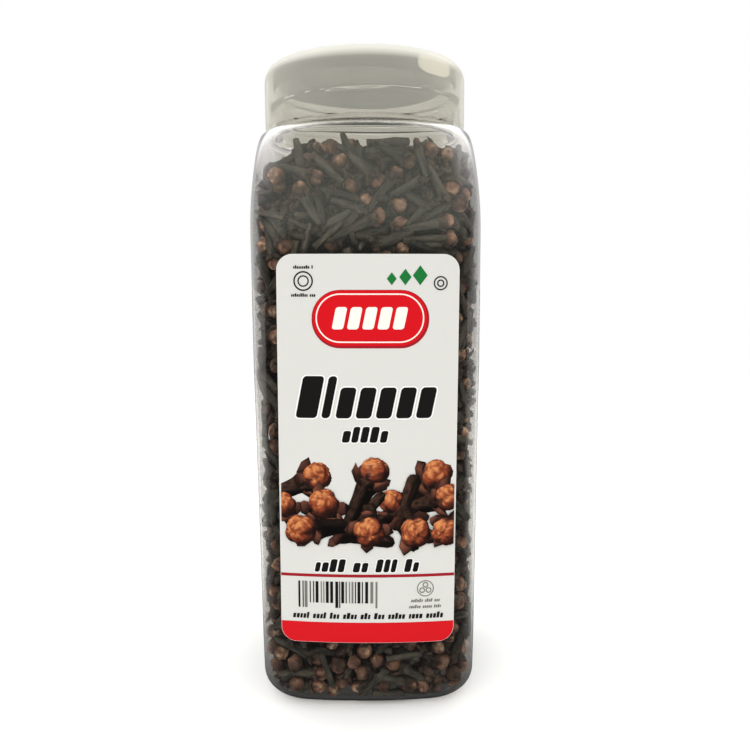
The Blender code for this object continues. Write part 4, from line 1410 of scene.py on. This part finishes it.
class CLOVEJAR_OT_stage(Operator):
    """Pale floor, soft white surroundings and the camera"""
    bl_idname = "clove_jar.stage"
    bl_label = "Stage"

    def execute(self, context):
        stage, scene = context.scene.clove_jar_stage, context.scene
        reach = 6.0
        corners = [(x * reach, y * reach, 0) for x, y in ((-1, -1), (1, -1), (1, 1), (-1, 1))]
        floor = new_object("floor", corners, [(0, 1, 2, 3)], smooth=False)
        floor.data.materials.append(pale_floor())

        world = bpy.data.worlds.new("white_surroundings")
        scene.world = world
        world.use_nodes = True
        tree = world.node_tree
        tree.nodes.clear()
        # White behind and above, dark in front and beside, so that the jar's face mirrors little
        way = add_node(tree, "ShaderNodeSeparateXYZ",
                       {0: add_node(tree, "ShaderNodeTexCoord").outputs["Generated"]})
        behind = add_node(tree, "ShaderNodeMapRange",
                          {"Value": way.outputs[1], "From Min": -0.05, "From Max": 0.45,
                           "To Min": 0.07, "To Max": 0.55}, interpolation_type="SMOOTHSTEP")
        above = add_node(tree, "ShaderNodeMapRange",
                         {"Value": way.outputs[2], "From Min": 0.02, "From Max": 0.6,
                          "To Min": 0.0, "To Max": 1.6}, interpolation_type="SMOOTHSTEP")
        both = add_node(tree, "ShaderNodeMath", {0: behind.outputs["Result"], 1: above.outputs["Result"]},
                        operation="MAXIMUM")
        # A pale screen over the front, which shows only as the sheen on the jar's upper part
        screen = add_node(tree, "ShaderNodeMapRange",
                          {"Value": way.outputs[2], "From Min": 0.0, "From Max": 0.12,
                           "To Min": 0.03, "To Max": 0.72}, interpolation_type="SMOOTHSTEP")
        path = add_node(tree, "ShaderNodeLightPath")
        facing = add_node(tree, "ShaderNodeMapRange",
                          {"Value": way.outputs[1], "From Min": 0.0, "From Max": -0.5})
        sheen = add_node(tree, "ShaderNodeMath",
                         {0: path.outputs["Is Glossy Ray"], 1: facing.outputs["Result"]},
                         operation="MULTIPLY")
        soft = add_node(tree, "ShaderNodeMix", {"Factor": sheen.outputs[0], 2: both.outputs[0],
                                                3: screen.outputs["Result"]})
        level = add_node(tree, "ShaderNodeMix", {"Factor": path.outputs["Is Camera Ray"],
                                                 2: soft.outputs[0], 3: 1.0})
        tone = add_node(tree, "ShaderNodeMix", {"Factor": sheen.outputs[0], 6: linear("ffffff"),
                                                7: linear("fcfff0")}, data_type="RGBA")
        sky = add_node(tree, "ShaderNodeBackground", {"Color": tone.outputs[2], "Strength": level.outputs[0]})
        out = add_node(tree, "ShaderNodeOutputWorld")
        tree.links.new(sky.outputs[0], out.inputs[0])

        lamp_aim = 110 * MM                            # both lamps look at this height on the axis
        for name, place, size, power in (("key_softbox", (-0.5, -1.3, 1.3), 1.6, 7.0),
                                         ("side_softbox", (1.4, -0.9, 0.8), 1.2, 0.7)):
            lamp = bpy.data.lights.new(name, "AREA")
            lamp.shape, lamp.size, lamp.energy = "SQUARE", size, power
            holder = bpy.data.objects.new(name, lamp)
            holder.location = place
            aim = Vector((0, 0, lamp_aim)) - Vector(place)
            holder.rotation_euler = aim.to_track_quat("-Z", "Y").to_euler()
            holder.visible_glossy = holder.visible_transmission = False
            scene.collection.objects.link(holder)

        camera = bpy.data.cameras.new("camera")
        camera.sensor_width, camera.lens = 36.0, stage.lens
        camera.shift_x = stage.shift
        camera.clip_start = 10 * MM
        holder = bpy.data.objects.new("camera", camera)
        holder.location = (0.0, -stage.distance, stage.height)
        level_view = Matrix.Rotation(math.pi / 2 - stage.pitch, 3, "X")
        holder.rotation_euler = (level_view @ Matrix.Rotation(-stage.roll, 3, "Z")).to_euler()
        scene.collection.objects.link(holder)
        scene.camera = holder
        scene.view_settings.view_transform = "Standard"
        scene.cycles.use_denoising = True
        scene.cycles.transmission_bounces = 14
        scene.cycles.max_bounces = 16
        scene.cycles.transparent_max_bounces = 16
        return {"FINISHED"}


class CLOVEJAR_PT_panel(Panel):
    """Lists the jar's sizes and builds its pieces"""
    bl_idname = "CLOVEJAR_PT_panel"
    bl_label = "Clove Jar"
    bl_space_type = "VIEW_3D"
    bl_region_type = "UI"
    bl_category = "Clove Jar"

    def draw(self, context):
        for group, operator in GROUPS:
            box = self.layout.box()
            settings = getattr(context.scene, group)
            for name in settings.__annotations__:
                box.prop(settings, name)
            if operator:
                box.operator(operator)
        self.layout.operator("clove_jar.seal")


GROUPS = (("clove_jar", "clove_jar.jar"), ("clove_jar_thread", None), ("clove_jar_cap", "clove_jar.cap"),
          ("clove_jar_cloves", "clove_jar.cloves"), ("clove_jar_label", "clove_jar.label"),
          ("clove_jar_stage", "clove_jar.stage"))
SETTINGS = (JarSettings, ThreadSettings, CapSettings, CloveSettings, LabelSettings, StageSettings)
OPERATORS = (CLOVEJAR_OT_stage, CLOVEJAR_OT_jar, CLOVEJAR_OT_cap, CLOVEJAR_OT_seal, CLOVEJAR_OT_label,
             CLOVEJAR_OT_cloves)


def register():
    """Registers the classes and hangs the settings on the scene."""
    for kind in SETTINGS + OPERATORS + (CLOVEJAR_PT_panel,):
        bpy.utils.register_class(kind)
    for (group, _), kind in zip(GROUPS, SETTINGS):
        setattr(bpy.types.Scene, group, PointerProperty(type=kind))


def unregister():
    """Takes the settings and the classes away again."""
    for group, _ in GROUPS:
        delattr(bpy.types.Scene, group)
    for kind in reversed(SETTINGS + OPERATORS + (CLOVEJAR_PT_panel,)):
        bpy.utils.unregister_class(kind)


def main():
    """Builds every piece."""
    register()
    bpy.ops.clove_jar.stage()
    bpy.ops.clove_jar.jar()
    bpy.ops.clove_jar.cap()
    bpy.ops.clove_jar.seal()
    bpy.ops.clove_jar.label()
    bpy.ops.clove_jar.cloves()


if __name__ == "__main__":
    main()
